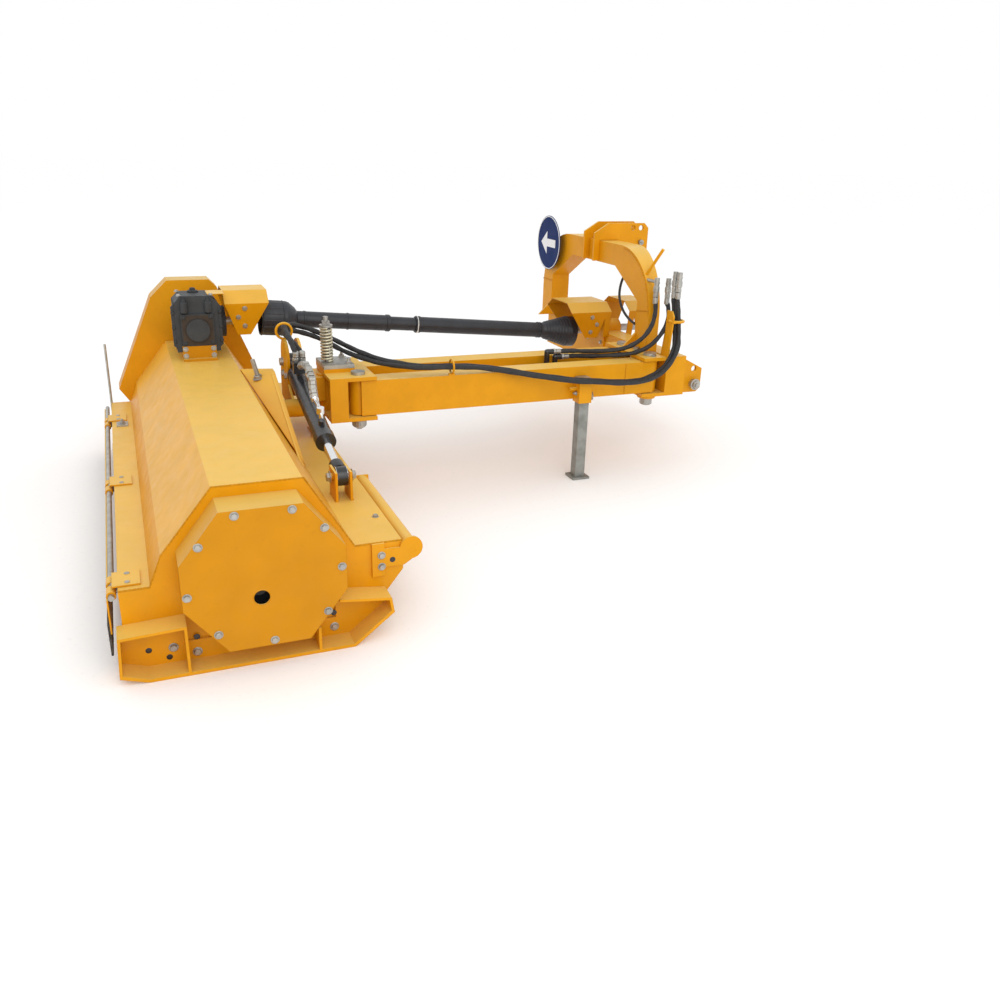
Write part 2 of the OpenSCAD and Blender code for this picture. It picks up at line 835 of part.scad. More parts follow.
module headstock_beam() {
  placed() color(paint) {
    difference() {
      union() {
        difference() {
          block([beam_in, beam_y, beam_low], [beam_out, beam_y + beam_d, beam_top]);
          block([beam_in - overrun, beam_y + beam_wall, beam_low + beam_wall],
            [beam_out - beam_wall, beam_y + beam_d - beam_wall, beam_top - beam_wall]);
        }
        for (z = [beam_low, clevis_top])
          block([far_x - clevis_side, stock_y - clevis_side, z], [clevis_out, beam_y, z + clevis_t]);
        for (side = [-1, 1], half = [-1, 1])
          hitch_plate(hitch_x + side * hitch_half + half * hitch_plate_half
            - (half < 0 ? hitch_plate_t : 0));
      }
      arm_pin_holes(stock_y);
      rod_y(beam_y - overrun, beam_d + 2 * overrun, pto_x, pto_front_z, bearing_out_r + seat_fit);
      rod_z(beam_low - overrun, beam_top - beam_low + 2 * overrun, mid_x, stock_y,
        swing_pin_r + seat_fit);
    }
  }
}

// The arch as seen from behind, shrunk all round by the wall w
module arch_shape(w) {
  half = arch_half - w;
  top = arch_top - w;
  r = arch_r - w;
  difference() {
    translate([hitch_x, 0])
      union() {
        translate([-half, beam_low]) square([2 * half, top - r - beam_low]);
        translate([r - half, beam_low]) square([2 * (half - r), top - beam_low]);
        for (side = [-1, 1])
          translate([side * (half - r), top - r]) circle(r);
      }
    translate([hitch_x, 0])
      polygon([[leg_w - arch_half - w, 0], [arch_half - leg_w + w, 0],
        [arch_half - leg_w + w, arch_in_side],
        [arch_in_half, arch_in_top + w], [-arch_in_half, arch_in_top + w],
        [leg_w - arch_half - w, arch_in_side]]);
    translate([hitch_x - 2 * arch_half, 0]) square([4 * arch_half, beam_top]);
  }
}

// The arch's depth seen from above: the near half gets thinner towards its foot
module arch_plan(w) {
  near = hitch_x + arch_half;
  far = hitch_x - arch_half;
  translate([0, 0, beam_low])
    linear_extrude(arch_top)
      polygon([[far, arch_y + w], [near, arch_y + w], [near, arch_y + arch_d * arch_near_share - w],
        [near - arch_r, arch_y + arch_d - w], [far, arch_y + arch_d - w]]);
}

module arch_solid(w) {
  intersection() {
    along_y(arch_y, arch_d) arch_shape(w);
    arch_plan(w);
  }
}

module headstock_arch() {
  placed() color(paint) {
    difference() {
      arch_solid(0);
      arch_solid(arch_wall);
    }
    for (side = [-1, 1])
      along_x(hitch_x + side * (arch_half - leg_w + gusset_t / 2) - gusset_t / 2, gusset_t)
        polygon([[arch_y, beam_top], [arch_y - gusset_h, beam_top], [arch_y, beam_top + gusset_h]]);
  }
}

module top_link_plates() {
  placed() color(paint)
    for (side = [-1, 1])
      along_x(hitch_x + side * mast_plate_half - (side < 0 ? mast_plate_t : 0), mast_plate_t)
        difference() {
          polygon([[arch_y - mast_back, mast_low - mast_drop], [arch_y, mast_low - mast_drop],
            [arch_y, arch_top], [arch_y + arch_d, arch_top], [arch_y + arch_d, mast_low - mast_drop],
            [mast_step_y, mast_low - mast_drop], [mast_nose_y, mast_low - mast_round],
            [mast_nose_y, mast_top - mast_round / 2],
            [mast_nose_y - mast_round / 2, mast_top],
            [arch_y + mast_round, mast_top],
            [arch_y - mast_back, mast_top - mast_round]]);
          translate([top_link_y, mast_pin_z]) circle(top_pin_r + seat_fit);
          for (back = [0, 1])
            translate([top_link_y - back * mast_round, mast_top - mast_round / 2])
              circle(top_pin_r + seat_fit);
        }
}

module hitch_pins() {
  placed() color(zinc) {
    for (side = [-1, 1]) {
      x = hitch_x + side * hitch_half;
      half = hitch_plate_half + hitch_plate_t;
      rod_x(x - half - hitch_tail, 2 * (half + hitch_tail), hitch_y, hitch_z, hitch_pin_r);
      rod_x(side > 0 ? x + half : x - half - hitch_tail / 2, hitch_tail / 2, hitch_y, hitch_z,
        hitch_pin_r + mast_pin_tail / 2);
    }
    rod_x(hitch_x - mast_plate_half - mast_plate_t - mast_pin_tail,
      2 * (mast_plate_half + mast_plate_t + mast_pin_tail), top_link_y, mast_pin_z, top_pin_r);
  }
}

module headstock_pins() {
  placed() color(zinc) {
    for (x = [near_x, far_x])
      arm_pin(x, stock_y, arm_pin_r, pin_brim);
    arm_pin(mid_x, stock_y, swing_pin_r, arch_ahead - swing_pin_r - 2 * slip);
  }
}

module pto_bearing() {
  placed() color(casting)
    difference() {
      union() {
        along_y(beam_y - bearing_plate_t, bearing_plate_t)
          translate([pto_x - bearing_plate_half, beam_low + beam_d])
            square([2 * bearing_plate_half, bearing_plate_top]);
        rod_y(beam_y - bearing_tail, beam_d + 2 * bearing_tail, pto_x, pto_front_z, bearing_out_r);
      }
      rod_y(beam_y - beam_d, 3 * beam_d, pto_x, pto_front_z, stub_r + run_fit);
    }
}

// One bent guard over the drive line, from the beam's face outwards; its sides narrow downwards, and a leg
// stands at the beam
module line_guard(face, way, length) {
  far = face + way * length;
  low = pto_front_z - stock_guard_low - overrun;
  knee = pto_front_z + stock_guard_wall;
  path = [[pto_x + stock_guard_half - stock_guard_low, pto_front_z - stock_guard_low],
    [pto_x + stock_guard_half, knee],
    [pto_x + stock_guard_top_half, pto_front_z + stock_guard_high],
    [pto_x - stock_guard_top_half, pto_front_z + stock_guard_high],
    [pto_x - stock_guard_half, knee],
    [pto_x - stock_guard_half + stock_guard_low, pto_front_z - stock_guard_low]];
  difference() {
    along_y(min(face, far), length) polygon(sheet(path, guard_t));
    along_x(pto_x - 2 * stock_guard_half, 4 * stock_guard_half)
      polygon([[far, knee], [far + way * overrun, knee], [far + way * overrun, low],
        [far - way * length * stock_guard_taper, low]]);
    along_x(pto_x - 2 * stock_guard_half, 4 * stock_guard_half)
      polygon([[face + way * stock_guard_leg, knee - stock_guard_leg], [face + way * stock_guard_leg, low],
        [face + way * 2 * stock_guard_leg, low]]);
  }
}

module headstock_guard() {
  placed() color(paint_light) {
    line_guard(beam_y, -1, beam_y - stock_y + stock_guard_back);
    line_guard(beam_y + beam_d, 1, stock_guard_front);
  }
}

module road_sign() {
  placed() color("#1f4fa0") {
    rod_y(arch_y - sign_gap - sign_t, sign_t, sign_x, sign_z, sign_r);
    rod_y(arch_y - sign_gap, sign_gap, sign_x - sign_boss_r, sign_z - leg_w, sign_boss_r);
  }
}

// A ring of round wire whose hole faces along X, Y or Z
module wire_ring(r, wire) {
  rotate_extrude() translate([r, 0]) circle(wire);
}

module hose_rack() {
  ring_y = stock_y + rack_ring_ahead;
  placed() color(paint) {
    block([rack_x - rack_plate_w / 2, beam_y, beam_top],
      [rack_x - rack_plate_w / 2 + rack_plate_t, beam_y + rack_plate_t, rack_post_z]);
    block([rack_x - rack_plate_w / 2, beam_y, rack_plate_top],
      [rack_x + rack_plate_w / 2, beam_y + rack_plate_t, rack_plate_top + rack_plate_t]);
    translate([rack_x, ring_y, rack_plate_top + rack_plate_t / 2])
      wire_ring(rack_ring_r, rack_ring_wire);
    difference() {
      translate([hitch_x + arch_half - arch_r * (1 - rack_rod_turn), arch_y + arch_ahead,
        arch_top - arch_r * (1 - sqrt(1 - rack_rod_turn * rack_rod_turn))])
        rotate(rack_rod_lean)
          translate([0, 0, -2 * rack_rod_r]) cylinder(h = rack_rod_len, r = rack_rod_r);
      arch_solid(0);
    }
  }
}

module hose_couplers() {
  tee = stocked(swing_routes[1][len(swing_routes[1]) - 1]);
  placed() color(zinc) {
    for (k = [0, 1]) {
      translate(fitted(tilt_routes[k][len(tilt_routes[k]) - 1]))
        cylinder(h = coupler_len, r = coupler_r);
      translate(stocked(swing_routes[k][len(swing_routes[k]) - 1]))
        cylinder(h = coupler_len, r = coupler_r);
    }
    difference() {
      rod_x(tee[0] - leg_w, leg_w, tee[1], tee[2] + coupler_tee_z, coupler_tee_r);
      arch_solid(0);
    }
  }
}

module stub_shaft() {
  spline_y = stock_y + stub_ahead - spline_len;
  placed() color(steel) {
    translate([pto_x, pto_front_y, pto_front_z]) sphere(ball_r);
    rod_y(pto_front_y, ball_neck, pto_x, pto_front_z, ball_neck_r);
    rod_y(pto_front_y + ball_neck, spline_y - stub_neck - pto_front_y - ball_neck, pto_x, pto_front_z,
      stub_r);
    rod_y(spline_y - stub_neck, stub_neck, pto_x, pto_front_z, stub_neck_r);
    rod_y(spline_y, spline_len, pto_x, pto_front_z, drive_shaft_r);
  }
}

// Drive shaft, drawn along its own line from the front joint back to the gearbox
module pto_line() {
  translate([pto_x, pto_front_y, pto_front_z]) rotate([90 - pto_tilt, 0, 0]) children();
}

module pto_cup() {
  placed() color(steel)
    pto_line()
      difference() {
        sphere(cup_r);
        sphere(ball_r + cup_slip);
        translate([-cup_r - overrun, -cup_r - overrun, -cup_r - overrun])
          cube([2 * (cup_r + overrun), 2 * (cup_r + overrun), cup_r + overrun]);
      }
}

module pto_front_guard() {
  seat = cup_r + cup_slip;
  placed() color(black_plastic)
    pto_line()
      rotate_extrude()
        polygon([[0, seat], [cone_r - pto_wall - cone_rim, seat], [cone_r - pto_wall, cone_rim - cone_front],
          [cone_r - pto_wall, -cone_front], [cone_r, -cone_front], [cone_r, cone_rim - cone_front],
          [pto_tube_r, cone_back], [pto_tube_r, front_tube_end],
          [inner_tube_r + slip, front_tube_end], [inner_tube_r + slip, seat + plug_t], [0, seat + plug_t]]);
}

module pto_rear_guard() {
  bore = inner_tube_r - pto_wall;
  bush_at = rear_sleeve_start + bush_len;
  placed() color(black_plastic)
    pto_line()
      rotate_extrude()
        polygon([[bore, rear_tube_start], [inner_tube_r, rear_tube_start],
          [inner_tube_r, rear_sleeve_start], [pto_tube_r, rear_sleeve_start], [pto_tube_r, bell_start],
          [bell_r - bell_round, bell_start + bell_round / 2], [bell_r - pto_wall, bell_full - bell_round / 2],
          [bell_r, bell_full], [bell_r, bell_end], [bell_r - pto_wall, bell_end],
          [bell_r - pto_wall, bell_full], [bell_r - bell_round, bell_start + bell_round],
          [bore, bell_start], [bore, bush_at + bush_len], [pto_shaft_r + run_fit, bush_at + bush_len],
          [pto_shaft_r + run_fit, bush_at], [bore, bush_at]]);
}

module pto_shaft() {
  placed() color(steel)
    pto_line()
      translate([0, 0, pto_shaft_start]) cylinder(h = bell_start - pto_shaft_start, r = pto_shaft_r);
}

// Parallel arms and what rides on them
module near_arm() {
  placed() color(paint) {
    arm(near_x);
    block([near_x + arm_w / 2 - clip_t, carrier_y + clip_ahead - clip_w / 2, arm_top],
      [near_x + arm_w / 2, carrier_y + clip_ahead + clip_w / 2, arm_top + clip_h - clip_ring_r]);
    translate([near_x + arm_w / 2 - clip_t / 2, carrier_y + clip_ahead, arm_top + clip_h])
      rotate([90, 0, 0]) wire_ring(clip_ring_r, clip_wire);
  }
}

module far_arm() {
  face = far_x + arm_w / 2;
  placed() color(paint) {
    arm(far_x);
    for (z = [arm_z - eye_half - swing_lug_t - slip, arm_z + eye_half + slip])
      difference() {
        block([face, swing_rod_y - swing_lug_half, z], [swing_rod_x + swing_lug_nose,
          swing_rod_y + swing_lug_half, z + swing_lug_t]);
        rod_z(z - overrun, swing_lug_t + 2 * overrun, swing_rod_x, swing_rod_y, rod_pin_r + seat_fit);
      }
  }
  placed() color(zinc)
    rod_z(arm_z - eye_half - 2 * swing_lug_t, 2 * (eye_half + 2 * swing_lug_t), swing_rod_x, swing_rod_y,
      rod_pin_r);
}

module jack_sleeve() {
  half = jack_sleeve_w / 2;
  leg = jack_leg_w / 2 + slip;
  placed() color(paint)
    difference() {
      block([jack_x - half, jack_y - half, jack_sleeve_low],
        [jack_x + half, jack_y + half, jack_sleeve_low + jack_sleeve_len]);
      block([jack_x - leg, jack_y - leg, jack_sleeve_low - overrun],
        [jack_x + leg, jack_y + leg, jack_sleeve_low + jack_sleeve_len + overrun]);
    }
  placed() color(zinc)
    rod_y(jack_y - half - jack_pull_len, jack_pull_len, jack_x, jack_sleeve_low + jack_pull_h, jack_pull_r);
}

module jack_leg() {
  half = jack_leg_w / 2;
  foot = jack_foot_w / 2;
  placed() color(zinc) {
    block([jack_x - half, jack_y - half, jack_foot_t], [jack_x + half, jack_y + half, jack_leg_top]);
    block([jack_x - foot, jack_y - foot, 0], [jack_x + foot, jack_y + foot, jack_foot_t]);
  }
}

// Hydraulic cylinders, drawn along +X from the base pin
module barrel(start, end, pin_r, eye_r) {
  difference() {
    union() {
      rotate([0, 90, 0]) cylinder(h = start + overrun, r = neck_r);
      rotate([90, 0, 0]) translate([0, 0, -eye_half]) cylinder(h = 2 * eye_half, r = eye_r);
      translate([start, 0, 0]) rotate([0, 90, 0]) cylinder(h = end - start, r = barrel_r);
      translate([end - gland_len, 0, 0]) rotate([0, 90, 0]) cylinder(h = gland_len, r = gland_r);
    }
    rotate([90, 0, 0]) translate([0, 0, -2 * eye_half]) cylinder(h = 4 * eye_half, r = pin_r + run_fit);
    translate([end - bore_depth, 0, 0]) rotate([0, 90, 0])
      cylinder(h = bore_depth + overrun, r = ram_r + run_fit);
  }
}

module ram(start, end, pin_r, eye_r) {
  difference() {
    union() {
      translate([start, 0, 0]) rotate([0, 90, 0]) cylinder(h = end - start, r = ram_r);
      translate([end, 0, 0]) rotate([90, 0, 0]) translate([0, 0, -eye_half])
        cylinder(h = 2 * eye_half, r = eye_r);
    }
    translate([end, 0, 0]) rotate([90, 0, 0]) translate([0, 0, -2 * eye_half])
      cylinder(h = 4 * eye_half, r = pin_r + rod_eye_play);
  }
}

module swing_line() {
  translate([mid_x, stock_y, swing_pin_z]) rotate([0, 0, -90 + swing_turn]) rotate([90, 0, 0]) children();
}

module swing_barrel() {
  placed() color(black_plastic)
    swing_line() {
      barrel(swing_barrel_start, swing_barrel_end, swing_pin_r, swing_eye_r);
      for (p = swing_ports) {
        translate([p[0], barrel_r - overrun, 0]) rotate([-90, 0, 0]) cylinder(h = p[1] + overrun, r = port_r);
        translate([p[0], barrel_r + p[1], 0]) sphere(port_r);
        translate([p[0], barrel_r + p[1], 0]) rotate([0, -90, 0]) cylinder(h = swing_elbow, r = port_r);
      }
    }
}

module swing_rod() {
  placed() color(chrome)
    swing_line() ram(swing_barrel_end - ram_inside, swing_len, rod_pin_r, swing_eye_r);
}

module tilt_line() {
  translate([tilt_base_x, tilt_y, tilt_base_z]) rotate([0, tilt_drop, 0]) children();
}

module tilt_barrel() {
  placed() color(black_plastic)
    tilt_line() {
      barrel(barrel_start, barrel_end, base_pin_r, rod_eye_r);
      for (x = [barrel_start + port_back, barrel_end - port_back])
        translate([x, 0, barrel_r - overrun]) cylinder(h = port_len - barrel_r + overrun, r = port_r);
      block([barrel_start + port_back - port_r, -2 * port_r, port_len - overrun],
        [barrel_start + port_back + port_r, 2 * port_r, tee_top]);
    }
}

module tilt_rod() {
  placed() color(chrome)
    tilt_line() ram(barrel_end - ram_inside, tilt_len, rod_pin_r, rod_eye_r);
}

// Carrier between the arms and the tilt knuckle
module carrier_frame() {
  back = break_y - carrier_margin;
  front = carrier_y + clevis_side;
  out = near_x + clevis_side;
  in = far_x - clevis_side;
  placed() color(paint)
    difference() {
      union() {
        for (z = [clevis_low - clevis_t, clevis_top])
          translate([0, 0, z]) linear_extrude(clevis_t)
            polygon([[out, back], [out, front], [in, front], [in, carrier_far_y],
              [mid_x - carrier_wing, back]]);
        block([out - side_t, back, clevis_low], [out, carrier_side_front, clevis_top]);
        block([mid_x - web_half, web_y, clevis_low], [mid_x + web_half, web_y + web_t, clevis_top]);
        block([mid_x - detent_half_x, break_y - detent_back, clevis_top + clevis_t],
          [mid_x + detent_half_x, break_y + detent_front, clevis_top + clevis_t + detent_t]);
      }
      arm_pin_holes(carrier_y);
      rod_z(clevis_low - clevis_t - overrun, detent_top, mid_x, break_y, break_pin_r + run_fit);
    }
}

module carrier_pins() {
  placed() color(zinc)
    for (x = [near_x, far_x])
      arm_pin(x, carrier_y, arm_pin_r, pin_brim);
}

module tilt_knuckle() {
  tube_low = clevis_low + slip;
  tube_high = clevis_top - slip;
  half = knuckle_plate_gap / 2;
  hinge_y = ear_back_y + ear_t + knuckle_slip;
  placed() color(paint) {
    difference() {
      union() {
        rod_z(tube_low, tube_high - tube_low, mid_x, break_y, knuckle_tube_r);
        block([mid_x - knuckle_box_in, tilt_y + half, knuckle_box_low],
          [mid_x + knuckle_box_out, break_y - knuckle_tube_r / 2, knuckle_box_top]);
        for (y = [tilt_y - half - knuckle_plate_t, tilt_y + half])
          along_y(y, knuckle_plate_t)
            union() {
              polygon([[knuckle_back_x, knuckle_box_low], [knuckle_back_x, knuckle_back_z],
                [knuckle_top_x - knuckle_top_r, knuckle_top_z],
                [knuckle_top_x + knuckle_top_r, knuckle_top_z], [knuckle_waist_x, knuckle_waist_z],
                [tilt_x, tilt_z + knuckle_r], [tilt_x, tilt_z - knuckle_r]]);
              translate([knuckle_top_x, knuckle_top_z]) circle(knuckle_top_r);
            }
        rod_y(hinge_y, ear_front_y - knuckle_slip - hinge_y, tilt_x, tilt_z, knuckle_r);
        block([knuckle_back_x, tilt_y - half - overrun, knuckle_box_low],
          [knuckle_back_x + knuckle_block, tilt_y + half + overrun, knuckle_back_z]);
      }
      rod_z(tube_low - overrun, tube_high - tube_low + 2 * overrun, mid_x, break_y, break_pin_r + seat_fit);
      rod_y(ear_back_y, ear_front_y - ear_back_y, tilt_x, tilt_z, tilt_pin_r + run_fit);
      rod_y(ear_back_y, ear_front_y - ear_back_y, tilt_base_x, tilt_base_z, base_pin_r + seat_fit);
    }
    translate([knuckle_top_x, tilt_y - half - knuckle_plate_t / 2,
      knuckle_top_z + knuckle_top_r + hose_ring_r]) rotate([0, 90, 0]) wire_ring(hose_ring_r, hose_ring_wire);
  }
}

module detent_plate() {
  placed() color(zinc)
    difference() {
      block([mid_x - detent_half_x, break_y - detent_back, detent_top - detent_t],
        [mid_x + detent_half_x, break_y + detent_front, detent_top]);
      rod_z(detent_top - detent_t - overrun, detent_t + 2 * overrun, mid_x, break_y, break_bolt_r + seat_fit);
    }
}

module breakaway_bolt() {
  seat = detent_top + spring_len + 2 * (spring_flat + slip);
  placed() color(steel) {
    rod_z(clevis_low - clevis_t - bolt_head, bolt_head - seat_fit, mid_x, break_y, bolt_head_r);
    rod_z(clevis_low - clevis_t - bolt_head, detent_top - detent_t - slip - clevis_low + clevis_t + bolt_head,
      mid_x, break_y, break_pin_r);
    rod_z(clevis_low, seat - clevis_low + break_nut_h + break_tail, mid_x, break_y, break_bolt_r);
    rod_z(seat, spring_seat_t, mid_x, break_y, spring_seat_r);
    translate([mid_x, break_y, seat + spring_seat_t])
      cylinder(h = break_nut_h - spring_seat_t, r = break_nut_r,
      $fn = 6);
  }
}

// One helical wire with a straight diameter at each end
spring_rings = 8;
spring_sides = 6;
spring_flat = spring_wire / 2 * cos(180 / spring_sides);
spring_pitch = spring_len / spring_turns;
function coil(i) = let (a = 360 * i / spring_rings)
  [spring_r * cos(a), spring_r * sin(a), spring_pitch * i / spring_rings];
spring_points = [for (i = [0 : spring_rings * spring_turns]) coil(i)];
spring_first = spring_points[0];
spring_last = spring_points[len(spring_points) - 1];
spring_line = concat([spring_first - [0, spring_wire, 0]], spring_points,
  [spring_last + [0, spring_wire, 0]]);
spring_gap = min([for (i = [0 : spring_rings * (spring_turns - 1)])
  for (j = [i + spring_rings / 2 : min(i + 2 * spring_rings, len(spring_points) - 1)])
    norm(spring_points[i] - spring_points[j]) - spring_wire]);

module breakaway_spring() {
  echo(spring_gap = spring_gap);
  placed() color("#2a6fb0")
    translate([mid_x, break_y, detent_top + spring_flat + slip])
      tube(spring_line, spring_wire / 2, spring_sides);
}

module tilt_base_pin() {
  half = knuckle_plate_gap / 2 + knuckle_plate_t + pin_head;
  placed() color(zinc)
    rod_y(tilt_y - half, 2 * half, tilt_base_x, tilt_base_z, base_pin_r);
}

// Mower head
module deck() {
  placed() color(paint)
    along_x(inner_x + plate_t, head_w - 2 * plate_t) polygon(sheet(deck_path, -sheet_t));
}

module side_plate(x) {
  along_x(x, plate_t)
    difference() {
      polygon(plate_path);
      translate([rotor_y, rotor_z]) circle(bearing_hole_r);
    }
}

module outer_side_plate() {
  placed() color(paint) side_plate(-plate_t);
}

module inner_side_plate() {
  placed() color(paint) side_plate(inner_x);
}

module end_cover() {
  placed() color(paint_light)
    difference() {
      along_x(0, cover_depth)
        translate([0, cover_z]) polygon(octagon(cover_half_y, cover_half_z, cover_cut_y, cover_cut_z));
      along_x(-overrun, cover_depth - cover_t + overrun)
        translate([0, cover_z])
          polygon(octagon(cover_half_y - cover_t, cover_half_z - cover_t, cover_cut_y, cover_cut_z));
      rod_x(0, cover_depth + overrun, rotor_y, rotor_z, cover_hole_r);
    }
}

module cover_bolts() {
  placed() color(zinc)
    for (p = cover_bolt_shares)
      rod_x(cover_depth, lid_bolt_h, p[0] * cover_half_y, cover_z + p[1] * cover_half_z, lid_bolt_r);
}

module skid(x, flange_x) {
  along_x(x, skid_w) polygon(sheet(skid_path, skid_t));
  along_x(flange_x, skid_flange_t)
    polygon([[-sole_back, skid_t / 2], [sole_front, skid_t / 2], [sole_front, skid_t + skid_flange],
      [-sole_back, skid_t + skid_flange]]);
}

// The outer skid's closed box at the heel, and its lip and rib at the toe
module skid_box() {
  along_x(0, skid_out) {
    polygon(sheet(heel_path, -skid_flange_t));
    polygon(sheet(toe_path, skid_flange_t));
    translate([toe_rib_y, skid_t / 2]) square([skid_flange_t, toe_rib_top]);
  }
  along_x(0, skid_flange_t) {
    polygon(concat(heel_path, [[-sole_back, skid_t / 2]]));
    polygon(concat([[sole_front, skid_t / 2]], toe_path, [[sole_front - toe_lip_back, skid_t / 2]]));
  }
}

module skids() {
  placed() color(paint) {
    difference() {
      union() {
        skid(skid_out - skid_w, 0);
        skid_box();
      }
      along_x(-overrun, cover_depth)
        translate([0, cover_z]) polygon(octagon(cover_half_y, cover_half_z, cover_cut_y, cover_cut_z));
    }
    skid(inner_x - skid_out, inner_x - skid_flange_t);
  }
}

module hood_solid() {
  along_x(inner_x, head_w)
    polygon(concat(hood_path, [[lip_front, front_shelf_z - front_lip],
      [-lip_back, rear_shelf_z - rear_lip]]));
}

// Folded plate from the ridge's front edge to the rear ear's upper edge
module ear_web() {
  front = ear_back_y + ear_t;
  low = [[ear_web_x, ridge_front, ridge_z], [ear_in_x, front, ear_peak_z],
    [ear_peak_x, front, ear_peak_z], [ear_out_x, front, ear_foot]];
  polyhedron(concat(low, [for (p = low) p + [0, 0, ear_web_t]]),
    [[0, 2, 1], [0, 3, 2], [4, 5, 6], [4, 6, 7], [0, 1, 5], [0, 5, 4], [1, 2, 6], [1, 6, 5],
      [2, 3, 7], [2, 7, 6], [3, 0, 4], [3, 4, 7]]);
}

module tilt_ears() {
  placed() color(paint)
    difference() {
      union() {
        along_y(ear_back_y, ear_t)
          polygon([[ear_out_x, front_shelf_z], [ear_out_x, ear_foot], [ear_peak_x, ear_peak_z],
            [ear_in_x, ear_peak_z], [ear_in_x, front_shelf_z]]);
        ear_web();
        along_y(ear_front_y, ear_t)
          union() {
            translate([tilt_x, tilt_z]) circle(ear_front_r);
            translate([tilt_x - ear_front_r, front_shelf_z])
              square([2 * ear_front_r, tilt_z - front_shelf_z]);
          }
      }
      hood_solid();
      rod_y(ear_back_y - overrun, ear_front_y - ear_back_y + ear_t + 2 * overrun, tilt_x, tilt_z,
        tilt_pin_r + seat_fit);
    }
}

module tilt_pin() {
  placed() color(zinc) {
    rod_y(ear_back_y, ear_front_y + ear_t - ear_back_y, tilt_x, tilt_z, tilt_pin_r);
    rod_y(ear_front_y + ear_t, pin_head, tilt_x, tilt_z, tilt_pin_r + pin_brim);
  }
}

module rod_lugs() {
  half = eye_half + run_gap;
  placed() color(paint)
    for (y = [tilt_y - half - lug_plate_t, tilt_y + half])
      along_y(y, lug_plate_t)
        difference() {
          translate([tilt_rod_x - lug_half, front_shelf_z])
            square([2 * lug_half, tilt_rod_z + lug_top - front_shelf_z]);
          translate([tilt_rod_x, tilt_rod_z]) circle(rod_pin_r + seat_fit);
        }
  placed() color(zinc)
    rod_y(tilt_y - half - lug_plate_t - pin_head, 2 * (half + lug_plate_t + pin_head), tilt_rod_x,
      tilt_rod_z,
      rod_pin_r);
}

module front_bar() {
  placed() color(paint) {
    rod_x(-bar_len, bar_len, bar_y, bar_z, bar_r);
    along_x(0, bar_plate_t) {
      translate([bar_plate_back, bar_plate_low]) square([bar_plate_w, bar_plate_top - bar_plate_low]);
      polygon([[bar_plate_back, bar_arm_low], [bar_y - bar_r, bar_arm_low],
        [bar_y + bar_r, bar_z - bar_r], [bar_y, bar_z + bar_r + bar_plate_nose],
        [bar_y - bar_r, bar_arm_top], [bar_plate_back, bar_arm_top]]);
      translate([bar_y, bar_z]) circle(bar_r + bar_plate_nose);
    }
    block([-bar_len - bar_plate_t, lip_front, bar_z - bar_r],
      [-bar_len, bar_y + bar_r, bar_z + bar_r]);
  }
}

module belt_back_plate() {
  placed() color(paint)
    along_x(inner_x - belt_plate_t, belt_plate_t)
      difference() {
        polygon(belt_outline);
        translate([rotor_y, rotor_z]) circle(bearing_hole_r);
        translate([0, gear_z]) circle(bearing_hole_r);
      }
}

module belt_guard() {
  placed() color(paint_light)
    difference() {
      along_x(belt_guard_x, belt_guard_d) polygon(belt_outline);
      along_x(belt_guard_x + belt_guard_t, belt_guard_d) polygon(inset(belt_outline, belt_guard_t));
    }
}

module gear_outline(top) {
  polygon([[-gear_half, gear_z - gear_low], [gear_half, gear_z - gear_low],
    [gear_half, top - gear_chamfer], [gear_half - gear_chamfer, top],
    [gear_chamfer - gear_half, top], [-gear_half, top - gear_chamfer]]);
}

module gearbox_case() {
  near = pto_x + gear_near;
  far = pto_x - gear_far;
  placed() color(casting)
    difference() {
      union() {
        along_x(near - gear_tall, gear_tall) gear_outline(gear_top);
        along_x(far, near - far - gear_tall / 2) gear_outline(gear_top - gear_step);
        block([near, -gear_cover_half, gear_z - gear_cover_half],
          [near + gear_cover_t, gear_cover_half, gear_z + gear_cover_half]);
        rod_x(near, 2 * gear_cover_t, 0, gear_z, gear_dome_r);
        rod_y(gear_half - overrun, gear_boss + overrun, pto_x, gear_z, gear_boss_r);
        rod_x(far - gear_boss, gear_boss + overrun, 0, gear_z, gear_boss_r);
      }
      block([far + gear_wall, gear_wall - gear_half, gear_z - gear_low + gear_wall],
        [near - gear_wall, gear_half - gear_wall, gear_top - gear_step - gear_chamfer - gear_wall]);
      rod_y(0, gear_half + gear_boss + overrun, pto_x, gear_z, drive_shaft_r + run_fit);
      rod_x(far - gear_boss - overrun, gear_far + gear_boss - drive_shaft_r * 2, 0, gear_z,
        drive_shaft_r + run_fit);
    }
}

module gearbox_stand() {
  near = pto_x + gear_near;
  far = pto_x - gear_far;
  placed() color(paint_light) {
    block([far, -stand_half, ridge_z], [near, stand_half, gear_z - gear_low]);
    block([near, -stand_half, ridge_z], [near + stand_t, stand_half, gear_z - gear_cover_half - slip]);
    block([near, -stand_half, ridge_z], [near + stand_foot, stand_half, ridge_z + stand_t]);
  }
}

